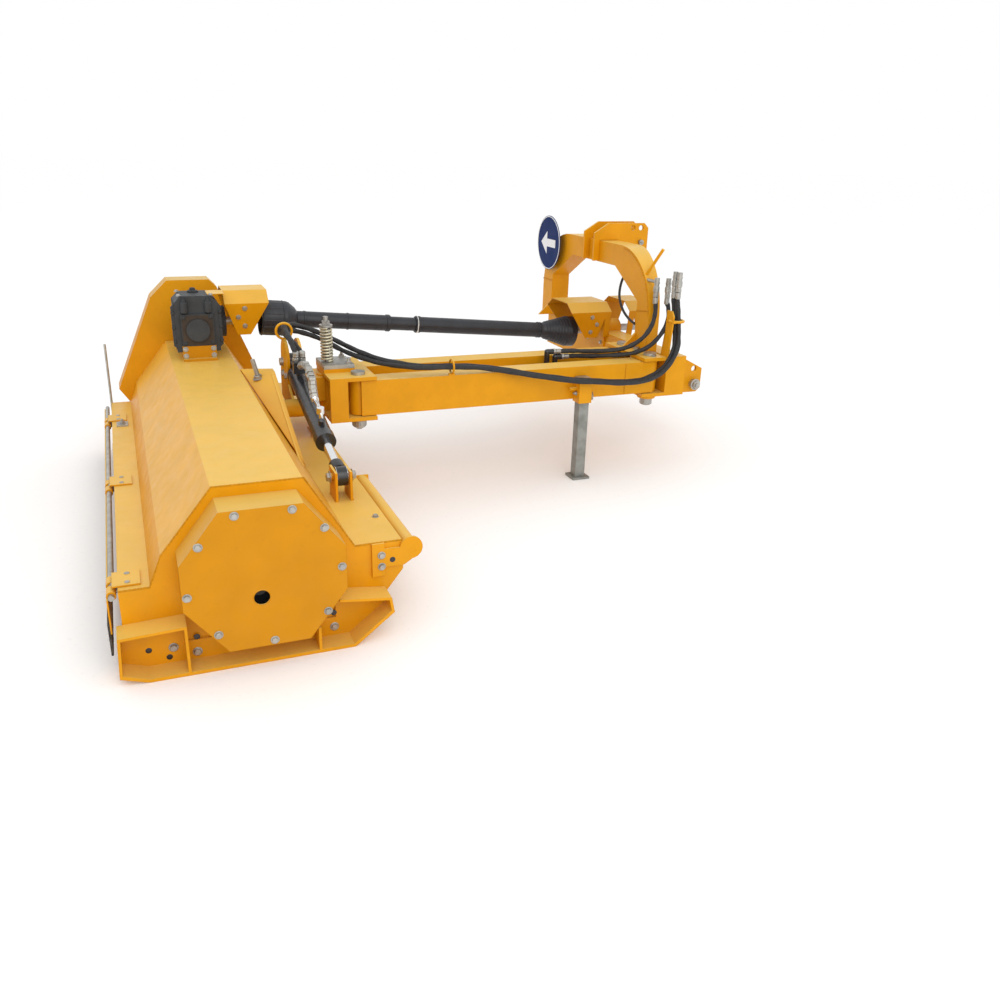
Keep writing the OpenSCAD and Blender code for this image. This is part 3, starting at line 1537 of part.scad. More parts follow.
module gearbox_guard() {
  top = gear_top + guard_t;
  eave = gear_z + gear_guard_eave;
  low = gear_z - gear_guard_low - overrun;
  long = gear_guard_y1 - gear_guard_y0;
  tongue_x = pto_x + gear_near - gear_tongue_in;
  placed() color(paint_light) {
    difference() {
      along_y(gear_guard_y0, long)
        polygon(sheet([[pto_x + gear_guard_half - stand_foot, gear_z - gear_guard_low],
          [pto_x + gear_guard_half, eave], [pto_x + gear_guard_top_half, top],
          [pto_x - gear_guard_top_half, top], [pto_x - gear_guard_half, eave],
          [pto_x - gear_guard_half + stand_foot, gear_z - gear_guard_low]], guard_t));
      along_x(pto_x - gear_guard_half - overrun, 2 * (gear_guard_half + overrun)) {
        polygon([[gear_guard_y0 - overrun, low], [gear_guard_y0 + long * gear_guard_cut_shares[0], low],
          [gear_guard_y0, eave], [gear_guard_y0 - overrun, eave]]);
        polygon([[gear_guard_y1 + overrun, low], [gear_guard_y1 - long * gear_guard_cut_shares[1], low],
          [gear_guard_y1, eave], [gear_guard_y1 + overrun, eave]]);
      }
    }
    block([tongue_x - gear_tongue_half, gear_tongue_y, gear_top],
      [tongue_x + gear_tongue_half, gear_guard_y0, top]);
  }
}

module bearing(x) {
  difference() {
    rod_x(x, bearing_w, rotor_y, rotor_z, bearing_r);
    rod_x(x - overrun, bearing_w + 2 * overrun, rotor_y, rotor_z, rotor_shaft_r + run_fit);
  }
}

module rotor_bearings() {
  placed() color(casting) {
    bearing(0);
    bearing(inner_x - belt_plate_t - bearing_w);
  }
}

module belts() {
  placed() color(rubber)
    for (i = [0 : belt_count - 1])
      along_x(pulley_x - (i + 0.5) * belt_pitch - groove_w / 2 + slip, groove_w - 2 * slip)
        difference() {
          loop(pulley_r + belt_proud);
          loop(pulley_r - groove_d + slip);
        }
}

module roller_brackets() {
  placed() color(paint)
    for (x = [-plate_t - bracket_t, inner_x + plate_t])
      difference() {
        block([x, -roller_back - bracket_half, bracket_low],
          [x + bracket_t, bracket_half - roller_back, bracket_top]);
        rod_x(x - overrun, bracket_t + 2 * overrun, -roller_back, roller_r, roller_shaft_r + run_fit);
      }
}

module door_hinge_rod() {
  placed() color(zinc) {
    rod_x(inner_x + plate_t, head_w - 2 * plate_t, door_y, door_z, door_rod_r);
    for (i = [0 : hinge_count - 1])
      block([inner_x + hinge_end + i * hinge_step - hinge_lug_w / 2, door_y, door_z - hinge_lug_half],
        [inner_x + hinge_end + i * hinge_step + hinge_lug_w / 2, -lip_back, door_z + hinge_lug_half]);
  }
}

// Turning parts of the head
module input_shaft() {
  placed() color(steel)
    rod_y(drive_shaft_r * 2, gear_shaft_end - drive_shaft_r * 2, pto_x, gear_z, drive_shaft_r);
}

module drive_pulley() {
  far = pto_x - drive_shaft_r * 2 - overrun;
  placed() color(steel) {
    pulley(0, gear_z);
    rod_x(pulley_x - pulley_w, far - pulley_x + pulley_w - overrun, 0, gear_z, drive_shaft_r);
  }
}

module at_flail(i) {
  translate([rotor_x0 + flail_edge + i * flail_step, rotor_y, rotor_z])
    rotate([i * flail_turn, 0, 0]) children();
}

module rotor() {
  lug_x = flail_t / 2 + slip;
  placed() color(steel) {
    difference() {
      rod_x(rotor_x0, rotor_len, rotor_y, rotor_z, rotor_r);
      rod_x(rotor_x0 + rotor_wall, rotor_len - 2 * rotor_wall, rotor_y, rotor_z, rotor_r - rotor_wall);
    }
    rod_x(rotor_x0 + rotor_len - rotor_wall / 2, rotor_nose - rotor_x0 - rotor_len + rotor_wall / 2, rotor_y,
      rotor_z, rotor_shaft_r);
    rod_x(pulley_x, rotor_x0 - pulley_x + rotor_wall / 2, rotor_y, rotor_z, rotor_shaft_r);
    for (i = [0 : flail_count - 1])
      at_flail(i)
        for (x = [-lug_x - lug_t, lug_x])
          difference() {
            block([x, -lug_w / 2, rotor_r - rotor_wall / 2], [x + lug_t, lug_w / 2, rotor_r + lug_reach]);
            rod_x(x - overrun, lug_t + 2 * overrun, 0, rotor_r + flail_pivot, flail_bolt_r + seat_fit);
          }
  }
}

module flails() {
  bolt = flail_t / 2 + slip + lug_t + slip;
  placed() color(casting)
    for (i = [0 : flail_count - 1])
      at_flail(i) {
        block([-flail_t / 2, -flail_w / 2, rotor_r + slip * 4],
          [flail_t / 2, flail_w / 2, flail_r - paddle_h / 2]);
        block([-paddle_w / 2, -paddle_t / 2, flail_r - paddle_h],
          [paddle_w / 2, paddle_t / 2, flail_r - slip * 4]);
        rod_x(-bolt, 2 * bolt, 0, rotor_r + flail_pivot, flail_bolt_r);
      }
}

module rotor_pulley() {
  placed() color(steel) pulley(rotor_y, rotor_z);
}

module roller() {
  x0 = inner_x + plate_t + bracket_t + roller_gap;
  length = head_w - 2 * (plate_t + bracket_t + roller_gap);
  placed() color(paint) {
    difference() {
      rod_x(x0, length, -roller_back, roller_r, roller_r);
      rod_x(x0 + roller_wall, length - 2 * roller_wall, -roller_back, roller_r, roller_r - roller_wall);
    }
    for (x = [x0 - roller_gap - bracket_t, x0 + length - roller_wall / 2])
      rod_x(x, roller_gap + bracket_t + roller_wall / 2, -roller_back, roller_r, roller_shaft_r);
  }
}

module rear_door() {
  back = door_y - door_knuckle_r;
  placed() color(paint)
    difference() {
      union() {
        block([inner_x + plate_t, back, door_z - door_len], [-plate_t, back + door_t, door_z - door_drop]);
        for (i = [0 : hinge_count - 1], side = [-1, 1])
          rod_x(inner_x + hinge_end + i * hinge_step + side * (hinge_lug_w / 2 + hinge_slip + hinge_w / 2)
            - hinge_w / 2, hinge_w, door_y, door_z, door_knuckle_r);
      }
      rod_x(inner_x, head_w, door_y, door_z, door_rod_r + run_fit);
    }
}

module rear_flap() {
  back = door_y - door_knuckle_r;
  placed() color(rubber) block([inner_x + plate_t, back - flap_t, flap_low], [-plate_t, back, flap_top]);
}

// Hoses, swept along their routes; the stretch beside the arms follows the arms' length
function fitted(p) = [p[0] + hose_shift, p[1] < carrier_y ? p[1] : p[1] < drawn_stock_y
  ? carrier_y + (p[1] - carrier_y) * arm_len / drawn_arm : p[1] + stock_y - drawn_stock_y, p[2]];

function stocked(p) = [p[0] + hose_shift, p[1] + stock_y - drawn_stock_y, p[2]];

module tilt_hoses() {
  placed() color(rubber)
    for (route = tilt_routes)
      tube([for (p = route) fitted(p)], hose_d / 2, hose_sides);
}

module swing_hoses() {
  placed() color(rubber)
    for (route = swing_routes)
      tube([for (p = route) stocked(p)], hose_d / 2, hose_sides);
}

headstock_beam();
headstock_arch();
top_link_plates();
hitch_pins();
headstock_pins();
pto_bearing();
headstock_guard();
road_sign();
hose_rack();
hose_couplers();
stub_shaft();
pto_cup();
pto_front_guard();
pto_rear_guard();
pto_shaft();
near_arm();
far_arm();
jack_sleeve();
jack_leg();
swing_barrel();
swing_rod();
carrier_frame();
carrier_pins();
tilt_knuckle();
detent_plate();
breakaway_bolt();
breakaway_spring();
tilt_base_pin();
tilt_barrel();
tilt_rod();
deck();
outer_side_plate();
inner_side_plate();
end_cover();
cover_bolts();
skids();
tilt_ears();
tilt_pin();
rod_lugs();
front_bar();
belt_back_plate();
belt_guard();
gearbox_case();
gearbox_stand();
gearbox_guard();
rotor_bearings();
belts();
roller_brackets();
door_hinge_rod();
input_shaft();
drive_pulley();
rotor();
flails();
rotor_pulley();
roller();
rear_door();
rear_flap();
tilt_hoses();
swing_hoses();
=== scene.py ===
# %% [markdown]
# # Offset flail mower
# The packed CAD part is the fixed frame. This lesson gives it a camera, light, finishes and the small parts
# that a CAD model leaves out: bolts, welds, hoses, fittings and worn surfaces.

# %% set-up
import json
import math
import random

import bpy
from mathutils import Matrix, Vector


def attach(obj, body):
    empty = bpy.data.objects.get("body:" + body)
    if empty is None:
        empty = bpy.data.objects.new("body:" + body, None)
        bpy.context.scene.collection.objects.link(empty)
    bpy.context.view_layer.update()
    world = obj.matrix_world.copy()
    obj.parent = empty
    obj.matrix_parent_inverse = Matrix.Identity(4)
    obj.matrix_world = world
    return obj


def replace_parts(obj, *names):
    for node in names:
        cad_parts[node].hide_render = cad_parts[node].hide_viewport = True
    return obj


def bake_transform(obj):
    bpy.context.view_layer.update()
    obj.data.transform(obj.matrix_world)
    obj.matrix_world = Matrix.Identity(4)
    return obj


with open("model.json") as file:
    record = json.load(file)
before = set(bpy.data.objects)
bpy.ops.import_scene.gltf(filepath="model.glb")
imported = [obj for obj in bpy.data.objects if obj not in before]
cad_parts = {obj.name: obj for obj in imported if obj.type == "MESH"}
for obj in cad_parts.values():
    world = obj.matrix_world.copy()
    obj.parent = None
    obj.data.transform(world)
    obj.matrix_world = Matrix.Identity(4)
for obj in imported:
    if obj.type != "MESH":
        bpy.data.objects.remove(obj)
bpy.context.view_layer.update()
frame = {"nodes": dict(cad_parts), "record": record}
NODES, RECORD = frame["nodes"], frame["record"]
scene = bpy.context.scene
random.seed(7)

# %% [markdown]
# ## Machine lines
# Sizes are in millimetres from the machine's own lines: X from the outer end plate, Y from the head's middle
# line, Z from the ground. Typing the frame's metres would do too, but a size read off the machine is easier
# to check as it stands. The pins and shafts are where the frame's joints say, so those places are looked up.

# %% machine lines
MM = 1000
SHIFT = Vector((1095.0, -936.5, 0.0))
OUT, IN, FRONT, BACK, UP, DOWN = (1, 0, 0), (-1, 0, 0), (0, 1, 0), (0, -1, 0), (0, 0, 1), (0, 0, -1)
JOINTS = {joint["name"]: joint["pos_m"] for joint in RECORD["behaviour"]["joints"]}


def in_frame(x, y, z):
    return (Vector((x, y, z)) + SHIFT) / MM


def joint_at(name):
    return Vector([round(c * MM - s, 1) for c, s in zip(JOINTS[name], SHIFT)])


NEAR_X, STOCK_Y, _ = joint_at("arm_swing")
FAR_X = joint_at("far_arm_swing").x
CARRIER_Y = joint_at("carrier_swing").y
TILT_BASE = joint_at("tilt_barrel_pitch")
TILT_Y = TILT_BASE.y
TILT_EYE = Vector((-400, TILT_Y, 352))
SHAFT_X, _, GEAR_Z = joint_at("input_spin")
HITCH_X = -1720
print("arm pins at", NEAR_X, FAR_X, "across and", STOCK_Y, CARRIER_Y, "along")

# %% [markdown]
# ## Camera
# The camera comes first, because everything after it is judged through it. It could be placed by eye; here
# it was solved from the end cover's corners and the deck's edges, so the same points land on each other.

# %% camera
LENS, SENSOR = 32.36, 36.0
CAMERA_TURN = (68.475, -1.641, 67.725)
CAMERA_PLACE = (2323.1, -268.3, 1364.0)
cam_data = bpy.data.cameras.new("camera")
cam_data.lens = LENS
cam_data.sensor_width = SENSOR
cam = bpy.data.objects.new("camera", cam_data)
cam.rotation_euler = [math.radians(a) for a in CAMERA_TURN]
cam.location = in_frame(*CAMERA_PLACE)
scene.collection.objects.link(cam)
scene.camera = cam
scene.view_settings.view_transform = "Standard"
print("camera at", tuple(round(c, 3) for c in cam.location))

# %% [markdown]
# ## Sky
# The machine stands under an overcast sky, which lights it evenly from all sides. A sun would cut hard
# shadows that the picture doesn't have. A plain white world at strength 1 gives the soft light and the white
# background in one go.

# %% sky
world = bpy.data.worlds.new("sky")
world.use_nodes = True
white_sky = world.node_tree.nodes["Background"]
white_sky.inputs["Color"].default_value = (1.0, 1.0, 1.0, 1)
white_sky.inputs["Strength"].default_value = 1.0
scene.world = world
print("sky", tuple(white_sky.inputs["Color"].default_value))

# %% [markdown]
# ## Lamps
# The brighter part of the sky lies behind the camera and to its right. Two broad area lamps stand for it: a
# high one that lights the upper sheets and a low one that opens the shadows on the end cover. Small lamps
# would leave sharp spots on the paint.


# %% lamps
def area_lamp(name, place, aim, size, power, colour):
    data = bpy.data.lights.new(name, "AREA")
    data.size = size
    data.energy = power
    data.color = colour
    lamp = bpy.data.objects.new(name, data)
    lamp.location = place
    lamp.rotation_euler = (Vector(aim) - Vector(place)).to_track_quat("-Z", "Y").to_euler()
    scene.collection.objects.link(lamp)


area_lamp("key", place=(5.2, -0.4, 4.8), aim=(0, 0.2, 0.4), size=4.0, power=80, colour=(1.0, 0.98, 0.95))
area_lamp("fill", place=(7.5, -0.8, 2.6), aim=(-0.3, 0.2, 0.4), size=4.0, power=60, colour=(1.0, 0.99, 0.97))

# %% [markdown]
# ## Rings
# Nearly all the small parts are round: a stack of rings joined by faces. Blender's own cylinder gives one
# plain drum, while rings of any width along any line make washers, nuts, ribs, pipes and beads alike. Along
# a bent line each ring takes its directions from the one before, so that the skin doesn't twist.


# %% rings
def basis(d):
    w = Vector(d).normalized()
    s = Vector(OUT) if abs(w.z) > 0.9 else Vector(UP)
    u = s.cross(w).normalized()
    return u, w.cross(u), w


def circle(p, u, v, r, sides, turn=0.0):
    angles = [turn + 2 * math.pi * k / sides for k in range(sides)]
    return [p + r * (u * math.cos(a) + v * math.sin(a)) for a in angles]


def ring(p, d, r, sides, turn=0.0):
    u, v, _ = basis(d)
    return circle(Vector(p), u, v, r, sides, turn)


def along_path(path):
    u = None
    for i, p in enumerate(path):
        w = (path[min(i + 1, len(path) - 1)] - path[max(i - 1, 0)]).normalized()
        u = basis(w)[0] if u is None else (u - w * u.dot(w)).normalized()
        yield i, p, u, w.cross(u)


print("a hexagon of radius 10:", [tuple(round(c, 1) for c in p) for p in ring((0, 0, 0), UP, 10, 6)])

# %% [markdown]
# ## Shape collector
# A collector gathers the corners and faces of many small solids and makes one mesh of them. One Blender
# object for each bolt would be easy too, but a machine has hundreds, and those on one body with one finish
# move and look alike, so they can be one piece.

# %% shape collector
ROD_CHAMFER, ROD_CHAMFER_LIMIT = 0.12, 0.2


class Shape:
    """Corners and faces, in millimetres, that become one mesh."""

    def __init__(self):
        self.corners, self.faces = [], []

    def rings(self, rows, closed=False):
        n, s = len(self.corners), len(rows[0])
        for row in rows:
            self.corners += list(row)
        for i in range(len(rows) if closed else len(rows) - 1):
            a, b = n + i * s, n + (i + 1) % len(rows) * s
            self.faces += [(a + k, a + (k + 1) % s, b + (k + 1) % s, b + k) for k in range(s)]
        if not closed:
            self.faces.append(tuple(n + s - 1 - k for k in range(s)))
            self.faces.append(tuple(n + (len(rows) - 1) * s + k for k in range(s)))
        return self

    def lathe(self, p, d, profile, sides=40, closed=False):
        w = Vector(d).normalized()
        return self.rings([ring(Vector(p) + w * t, w, r, sides) for t, r in profile], closed)

    def rod(self, p, q, r, sides=24):
        d = Vector(q) - Vector(p)
        c = min(r * ROD_CHAMFER, d.length * ROD_CHAMFER_LIMIT)
        return self.lathe(p, d, [(0, r - c), (c, r), (d.length - c, r), (d.length, r - c)], sides)

    def plate(self, outline, d):
        return self.rings([[Vector(p) for p in outline], [Vector(p) + Vector(d) for p in outline]])

    def box(self, lo, hi):
        (x0, y0, z0), (x1, y1, z1) = lo, hi
        return self.plate(((x0, y0, z0), (x1, y0, z0), (x1, y1, z0), (x0, y1, z0)), (0, 0, z1 - z0))

    def mesh(self, name, finish_name):
        mesh = bpy.data.meshes.new(name)
        mesh.from_pydata([tuple(in_frame(*p)) for p in self.corners], [], self.faces)
        mesh.materials.append(FINISH[finish_name][0])
        obj = bpy.data.objects.new(name, mesh)
        scene.collection.objects.link(obj)
        return obj

    def make(self, name, body, finish_name, angle=32.0):
        obj = self.mesh(name, finish_name)
        obj.data.validate()
        obj.data.polygons.foreach_set("use_smooth", [True] * len(obj.data.polygons))
        obj.data.set_sharp_from_angle(angle=math.radians(angle))
        if body:
            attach(obj, body)
        print(name, len(obj.data.vertices), "corners on", body)
        return obj


print("a trial rod has", len(Shape().rod((0, 0, 0), (0, 0, 50), 8).corners), "corners")

# %% [markdown]
# ## Node helpers for finishes
# A finish is a small network of shader nodes. It could be wired by hand in the editor; a few helpers that
# add a node and give back its output make the wiring read like a sum. Flat colours would look like plastic,
# and pictures can't be carried with the part, so noise in the object's own space does all of it.

# %% node helpers
FINISH = {}


class Net:
    """One material's node tree, with short ways to add and wire nodes."""

    def __init__(self, name):
        self.mat = bpy.data.materials.new(name)
        self.mat.use_nodes = True
        self.nodes = self.mat.node_tree.nodes
        self.link = self.mat.node_tree.links.new
        self.skin = self.nodes["Principled BSDF"].inputs
        self.where = self.nodes.new("ShaderNodeTexCoord").outputs["Object"]

    def noise(self, scale, detail=4.0):
        n = self.nodes.new("ShaderNodeTexNoise")
        n.inputs["Scale"].default_value = scale
        n.inputs["Detail"].default_value = detail
        self.link(self.where, n.inputs["Vector"])
        return n.outputs["Fac"]

    def remap(self, value, low, high, to_low=0.0, to_high=1.0):
        r = self.nodes.new("ShaderNodeMapRange")
        self.link(value, r.inputs[0])
        for i, x in enumerate((low, high, to_low, to_high)):
            r.inputs[i + 1].default_value = x
        return r.outputs[0]

    def mix(self, share, a, b):
        m = self.nodes.new("ShaderNodeMix")
        m.data_type = "RGBA"
        for socket, value in ((m.inputs[0], share), (m.inputs[6], a), (m.inputs[7], b)):
            if isinstance(value, bpy.types.NodeSocket):
                self.link(value, socket)
            else:
                socket.default_value = (*value, 1)
        return m.outputs[2]

    def times(self, a, b):
        m = self.nodes.new("ShaderNodeMath")
        m.operation = "MULTIPLY"
        self.link(a, m.inputs[0])
        self.link(b, m.inputs[1])
        return m.outputs[0]

    def upward(self, vector):
        split = self.nodes.new("ShaderNodeSeparateXYZ")
        self.link(vector, split.inputs[0])
        return split.outputs[2]


print("node helpers", [h for h in vars(Net) if not h.startswith("_")])

# %% [markdown]
# ## What wears a finish, and a painted sheen
# On the machine the colour is never even: it drifts over a sheet, has darker specks and gathers dust low
# down. Faces that look up are painted paler too: a painted highlight that stands for the sky's sheen on
# them. Each of these is one short function, so a finish can have some of them and leave the others out.
# The dust is tied to height above the ground, as splashed soil is.

# %% wear and painted sheen
DUST_COLOUR, DUST_TOP = (0.30, 0.25, 0.18), 0.45
# The sheen colour and where it starts: a painted highlight on faces that look up, standing for the sky's
# reflection.
SHEEN_PAINT_COLOUR, SHEEN_PAINT_FROM = (1.0, 0.93, 0.30), 0.35
SPECK_DARKEN, SPECK_SHARE = 0.72, 0.25
DRIFT_BAND, SPECK_BAND, PATCH_BAND, ROUGH_BAND = (0.35, 0.65), (0.62, 0.80), (0.38, 0.68), (0.3, 0.7)
PATCH_FINER, ROUGH_FINER, BUMP_FINER = 2.2, 3, 4
BUMP_DEPTH, BUMP_GAIN = 0.002, 4
ROUGH_LESS, ROUGH_MORE = 0.07, 0.09
COAT_ROUGH = 0.15


def drifting_tone(net, colour, vary, scale, fine):
    low = tuple(c * (1 - vary) for c in colour)
    high = tuple(min(1.0, c * (1 + vary)) for c in colour)
    base = net.mix(net.remap(net.noise(scale), *DRIFT_BAND), low, high)
    specks = net.remap(net.noise(fine, 2.0), *SPECK_BAND, 0.0, SPECK_SHARE)
    return net.mix(specks, base, tuple(c * SPECK_DARKEN for c in colour))


def low_dust(net, base, dust, scale):
    low = net.remap(net.upward(net.where), DUST_TOP, 0.0, 0.0, dust)
    patches = net.remap(net.noise(scale * PATCH_FINER), *PATCH_BAND)
    return net.mix(net.times(low, patches), base, DUST_COLOUR)


# Painted highlight: the more a face looks up, the more its colour is mixed towards the pale sheen colour,
# standing for the sky's reflection on it.
def painted_sky_sheen(net, base, painted_sheen):
    facing = net.upward(net.nodes.new("ShaderNodeNewGeometry").outputs["Normal"])
    return net.mix(net.remap(facing, SHEEN_PAINT_FROM, 1.0, 0.0, painted_sheen), base, SHEEN_PAINT_COLOUR)


def fine_bump(net, bump, fine, edge):
    b = net.nodes.new("ShaderNodeBump")
    b.inputs["Strength"].default_value = bump * BUMP_GAIN
    b.inputs["Distance"].default_value = BUMP_DEPTH
    net.link(net.noise(fine * BUMP_FINER, 3.0), b.inputs["Height"])
    if edge:
        soft_edge = net.nodes.new("ShaderNodeBevel")
        soft_edge.samples = 4
        soft_edge.inputs["Radius"].default_value = edge / MM
        net.link(soft_edge.outputs[0], b.inputs["Normal"])
    return b.outputs[0]


def finish(name, slot, colour, rough=0.4, metal=0.0, vary=0.12, scale=9.0, dust=0.0, bump=0.02,
           fine=60.0, coat=0.0, edge=0.0, spec=0.5, painted_sheen=0.0):
    net = Net(name)
    base = drifting_tone(net, colour, vary, scale, fine)
    if dust:
        base = low_dust(net, base, dust, scale)
    # Painted highlight: faces that look up are mixed towards a pale sheen colour.
    if painted_sheen:
        base = painted_sky_sheen(net, base, painted_sheen)
    net.link(base, net.skin["Base Color"])
    worn = net.remap(net.noise(scale * ROUGH_FINER), *ROUGH_BAND, rough - ROUGH_LESS, rough + ROUGH_MORE)
    net.link(worn, net.skin["Roughness"])
    net.link(fine_bump(net, bump, fine, edge), net.skin["Normal"])
    for socket, value in (("Metallic", metal), ("Specular IOR Level", spec), ("Coat Weight", coat),
                          ("Coat Roughness", COAT_ROUGH)):
        net.skin[socket].default_value = value
    FINISH[name] = (net.mat, slot)
    print("finish", name, "for slot", slot)


# %% [markdown]
# ## Paint
# The frame and arms are orange, the head's sheets a touch deeper, and weld beads are painted over but
# rougher. The paint is satin: a low specular level keeps the deep colour where a glossy one would turn
# milky, and the sky's sheen on faces that look up is painted into the colour as a pale highlight instead.
# A small rounded edge catches the light as folded sheet does.

# %% paint
# The paint's upward faces get a painted sky sheen in their colour.
finish("orange", "orange_paint", (0.69, 0.295, 0.003), 0.38, vary=0.05, dust=0.05, edge=2.0,
       spec=0.18, painted_sheen=0.30)
finish("yellow", "yellow_paint", (0.565, 0.230, 0.002), 0.38, vary=0.04, dust=0.04, edge=2.0,
       spec=0.16, painted_sheen=0.30)
finish("weld", "orange_paint", (0.63, 0.265, 0.003), 0.45, vary=0.12, scale=120.0, fine=300.0, bump=0.25,
       spec=0.2)

# %% [markdown]
# ## Bare and plated metal
# Bolts are zinc plated, the jack leg is hot galvanised and duller, the rod is chromed and the spring has a
# yellowish plating. All are the same network with more metal in it; only tone and roughness tell them apart.

# %% bare and plated metal
finish("zinc", "zinc", (0.42, 0.41, 0.38), 0.42, metal=0.8, vary=0.15, scale=30.0, dust=0.10)
finish("galvanised", "zinc", (0.26, 0.265, 0.245), 0.5, metal=0.6, vary=0.18, scale=22.0, dust=0.10)
finish("steel", "bare_steel", (0.40, 0.39, 0.37), 0.42, metal=0.9, vary=0.2, scale=25.0, dust=0.3)
finish("chrome", "chrome", (0.78, 0.79, 0.80), 0.12, metal=1.0, vary=0.03, bump=0.005)
finish("spring", "spring_steel", (0.60, 0.56, 0.42), 0.36, metal=0.75, vary=0.18, scale=40.0)

# %% [markdown]
# ## Castings, black paint and plastic
# The gearbox is a painted casting with a coarse skin and a browner round cover. The cylinder has glossy
# black paint, so it gets a thin clear coat, while the shaft's guard is dull black plastic with a white tie.

# %% castings, black paint and plastic
finish("casting", "casting", (0.045, 0.048, 0.052), 0.55, vary=0.15, scale=14.0, bump=0.08, edge=3.0,
       spec=0.25)
finish("cover_brown", "casting", (0.056, 0.040, 0.029), 0.55, vary=0.15, scale=20.0, bump=0.06, spec=0.2)
finish("plastic", "black_plastic", (0.018, 0.020, 0.026), 0.42, vary=0.2, scale=14.0, bump=0.03)
finish("black", "black_paint", (0.014, 0.014, 0.017), 0.30, vary=0.2, scale=12.0, coat=0.3, edge=1.5)
finish("white_tie", "black_plastic", (0.78, 0.78, 0.75), 0.45, vary=0.05)

# %% [markdown]
# ## Sign, rubber and floor
# The sign is matt blue film with a white arrow. Rubber is nearly black and dusty, and the hoses' sleeves
# have a fine weave, for which a strong fine bump is enough at this distance. The floor is almost pure white,
# so that it melts into the sky without any extra light.

# %% sign, rubber and floor
finish("sign", "blue_sign", (0.010, 0.026, 0.115), 0.6, vary=0.06, scale=6.0, spec=0.12)
finish("sign_white", "blue_sign", (0.80, 0.81, 0.82), 0.4, vary=0.03, scale=8.0)
finish("rubber", "rubber", (0.020, 0.020, 0.021), 0.75, vary=0.25, scale=18.0, dust=0.35, bump=0.06)
finish("hose", "rubber", (0.016, 0.016, 0.018), 0.52, vary=0.3, scale=60.0, fine=180.0, bump=0.2)
finish("floor", None, (1.0, 1.0, 0.998), 0.95, spec=0.0, vary=0.003, scale=2.0, bump=0.005)

# %% [markdown]
# ## Painting the CAD parts
# Each CAD node names the material slot it was drawn with, so the slot picks the finish. A few nodes look
# different on the machine from what their slot says and are listed by name. Faces are shaded smooth with
# sharp edges kept, which turns the CAD's flat facets into round pins and tubes without more faces.

# %% painting the CAD parts
SLOT_FINISH = {"orange_paint": "orange", "yellow_paint": "yellow", "bare_steel": "steel",
               "black_plastic": "plastic", "black_paint": "black", "blue_sign": "sign",
               "spring_steel": "spring"}
NODE_FINISH = {"pto_bearing": "orange", "gearbox_guard": "orange", "jack_leg": "galvanised"}
CAD_SHARP = 28
for part in RECORD["subparts"]:
    node, slot = part["node"], part["material_slot"]
    mesh = NODES[node].data
    mesh.materials.clear()
    mesh.materials.append(FINISH[NODE_FINISH.get(node, SLOT_FINISH.get(slot, slot))][0])
    mesh.polygons.foreach_set("use_smooth", [True] * len(mesh.polygons))
    mesh.set_sharp_from_angle(angle=math.radians(CAD_SHARP))
print("painted", len(RECORD["subparts"]), "nodes")

# %% [markdown] ## Floor The machine stands on pale ground, which gives it a soft shadow. A small plane
# would show its edge, so the slab is wide enough to reach the horizon.

# %% floor
FLOOR_HALF, FLOOR_LOW, FLOOR_TOP = 60000, -60, -0.5
slab = Shape().box((-FLOOR_HALF, -FLOOR_HALF, FLOOR_LOW), (FLOOR_HALF, FLOOR_HALF, FLOOR_TOP))
floor_obj = slab.mesh("floor", "floor")
print("floor", 2 * FLOOR_HALF / MM, "m wide")

# %% [markdown]
# ## Hose routes
# Two hoses run from the tilt cylinder through a ring, behind the spring, along the near arm and up to the
# headstock; two shorter ones join the swing cylinder to the headstock. A simulated hose would hang by itself
# but never twice alike, so the routes are listed points, with a smooth curve through them.

# %% tilt hose routes
HOSE_R = 9.8
TILT_A = [(-1062.2, 309, 588.6), (-1059.3, 309, 602), (-1066, 305, 626), (-1088, 299, 651), (-1122, 296, 668),
          (-1178, 295, 681), (-1236, 298, 684), (-1284, 322, 681), (-1306, 368, 670), (-1308, 424, 650),
          (-1290, 482, 624), (-1250, 540, 596), (-1194, 598, 572), (-1132, 664, 553), (-1086, 750, 540),
          (-1070, 840, 531), (-1065, 930, 528), (-1060, 1040, 520), (-1046, 1160, 502),
          (-1020, 1290, 478), (-984, 1420, 460), (-974, 1540, 448), (-978, 1660, 434), (-992, 1780, 430),
          (-1006, 1870, 452), (-1016, 1930, 500), (-1030, 1962, 556), (-1048, 1972, 612), (-1058, 1970, 668),
          (-1063, 1962, 730), (-1064, 1958, 770), (-1064, 1958, 800)]
TILT_B = [(-1062.2, 333, 588.6), (-1059.3, 333, 602), (-1084, 329, 620), (-1124, 310, 646), (-1178, 296, 659),
          (-1236, 300, 662), (-1280, 326, 659), (-1298, 370, 648), (-1299, 424, 628), (-1280, 478, 602),
          (-1240, 532, 575), (-1184, 588, 556), (-1120, 652, 543), (-1068, 744, 535), (-1049, 838, 529),
          (-1043, 930, 527), (-1038, 1040, 519), (-1023, 1160, 500), (-997, 1290, 476),
          (-961, 1420, 458), (-951, 1540, 446), (-955, 1660, 432), (-969, 1780, 428), (-983, 1870, 450),
          (-993, 1930, 498), (-1007, 1966, 554), (-1025, 1978, 610), (-1035, 1976, 668), (-1035, 1966, 730),
          (-1034, 1960, 770), (-1034, 1960, 800)]
print("tilt hoses", len(TILT_A), "and", len(TILT_B), "points")

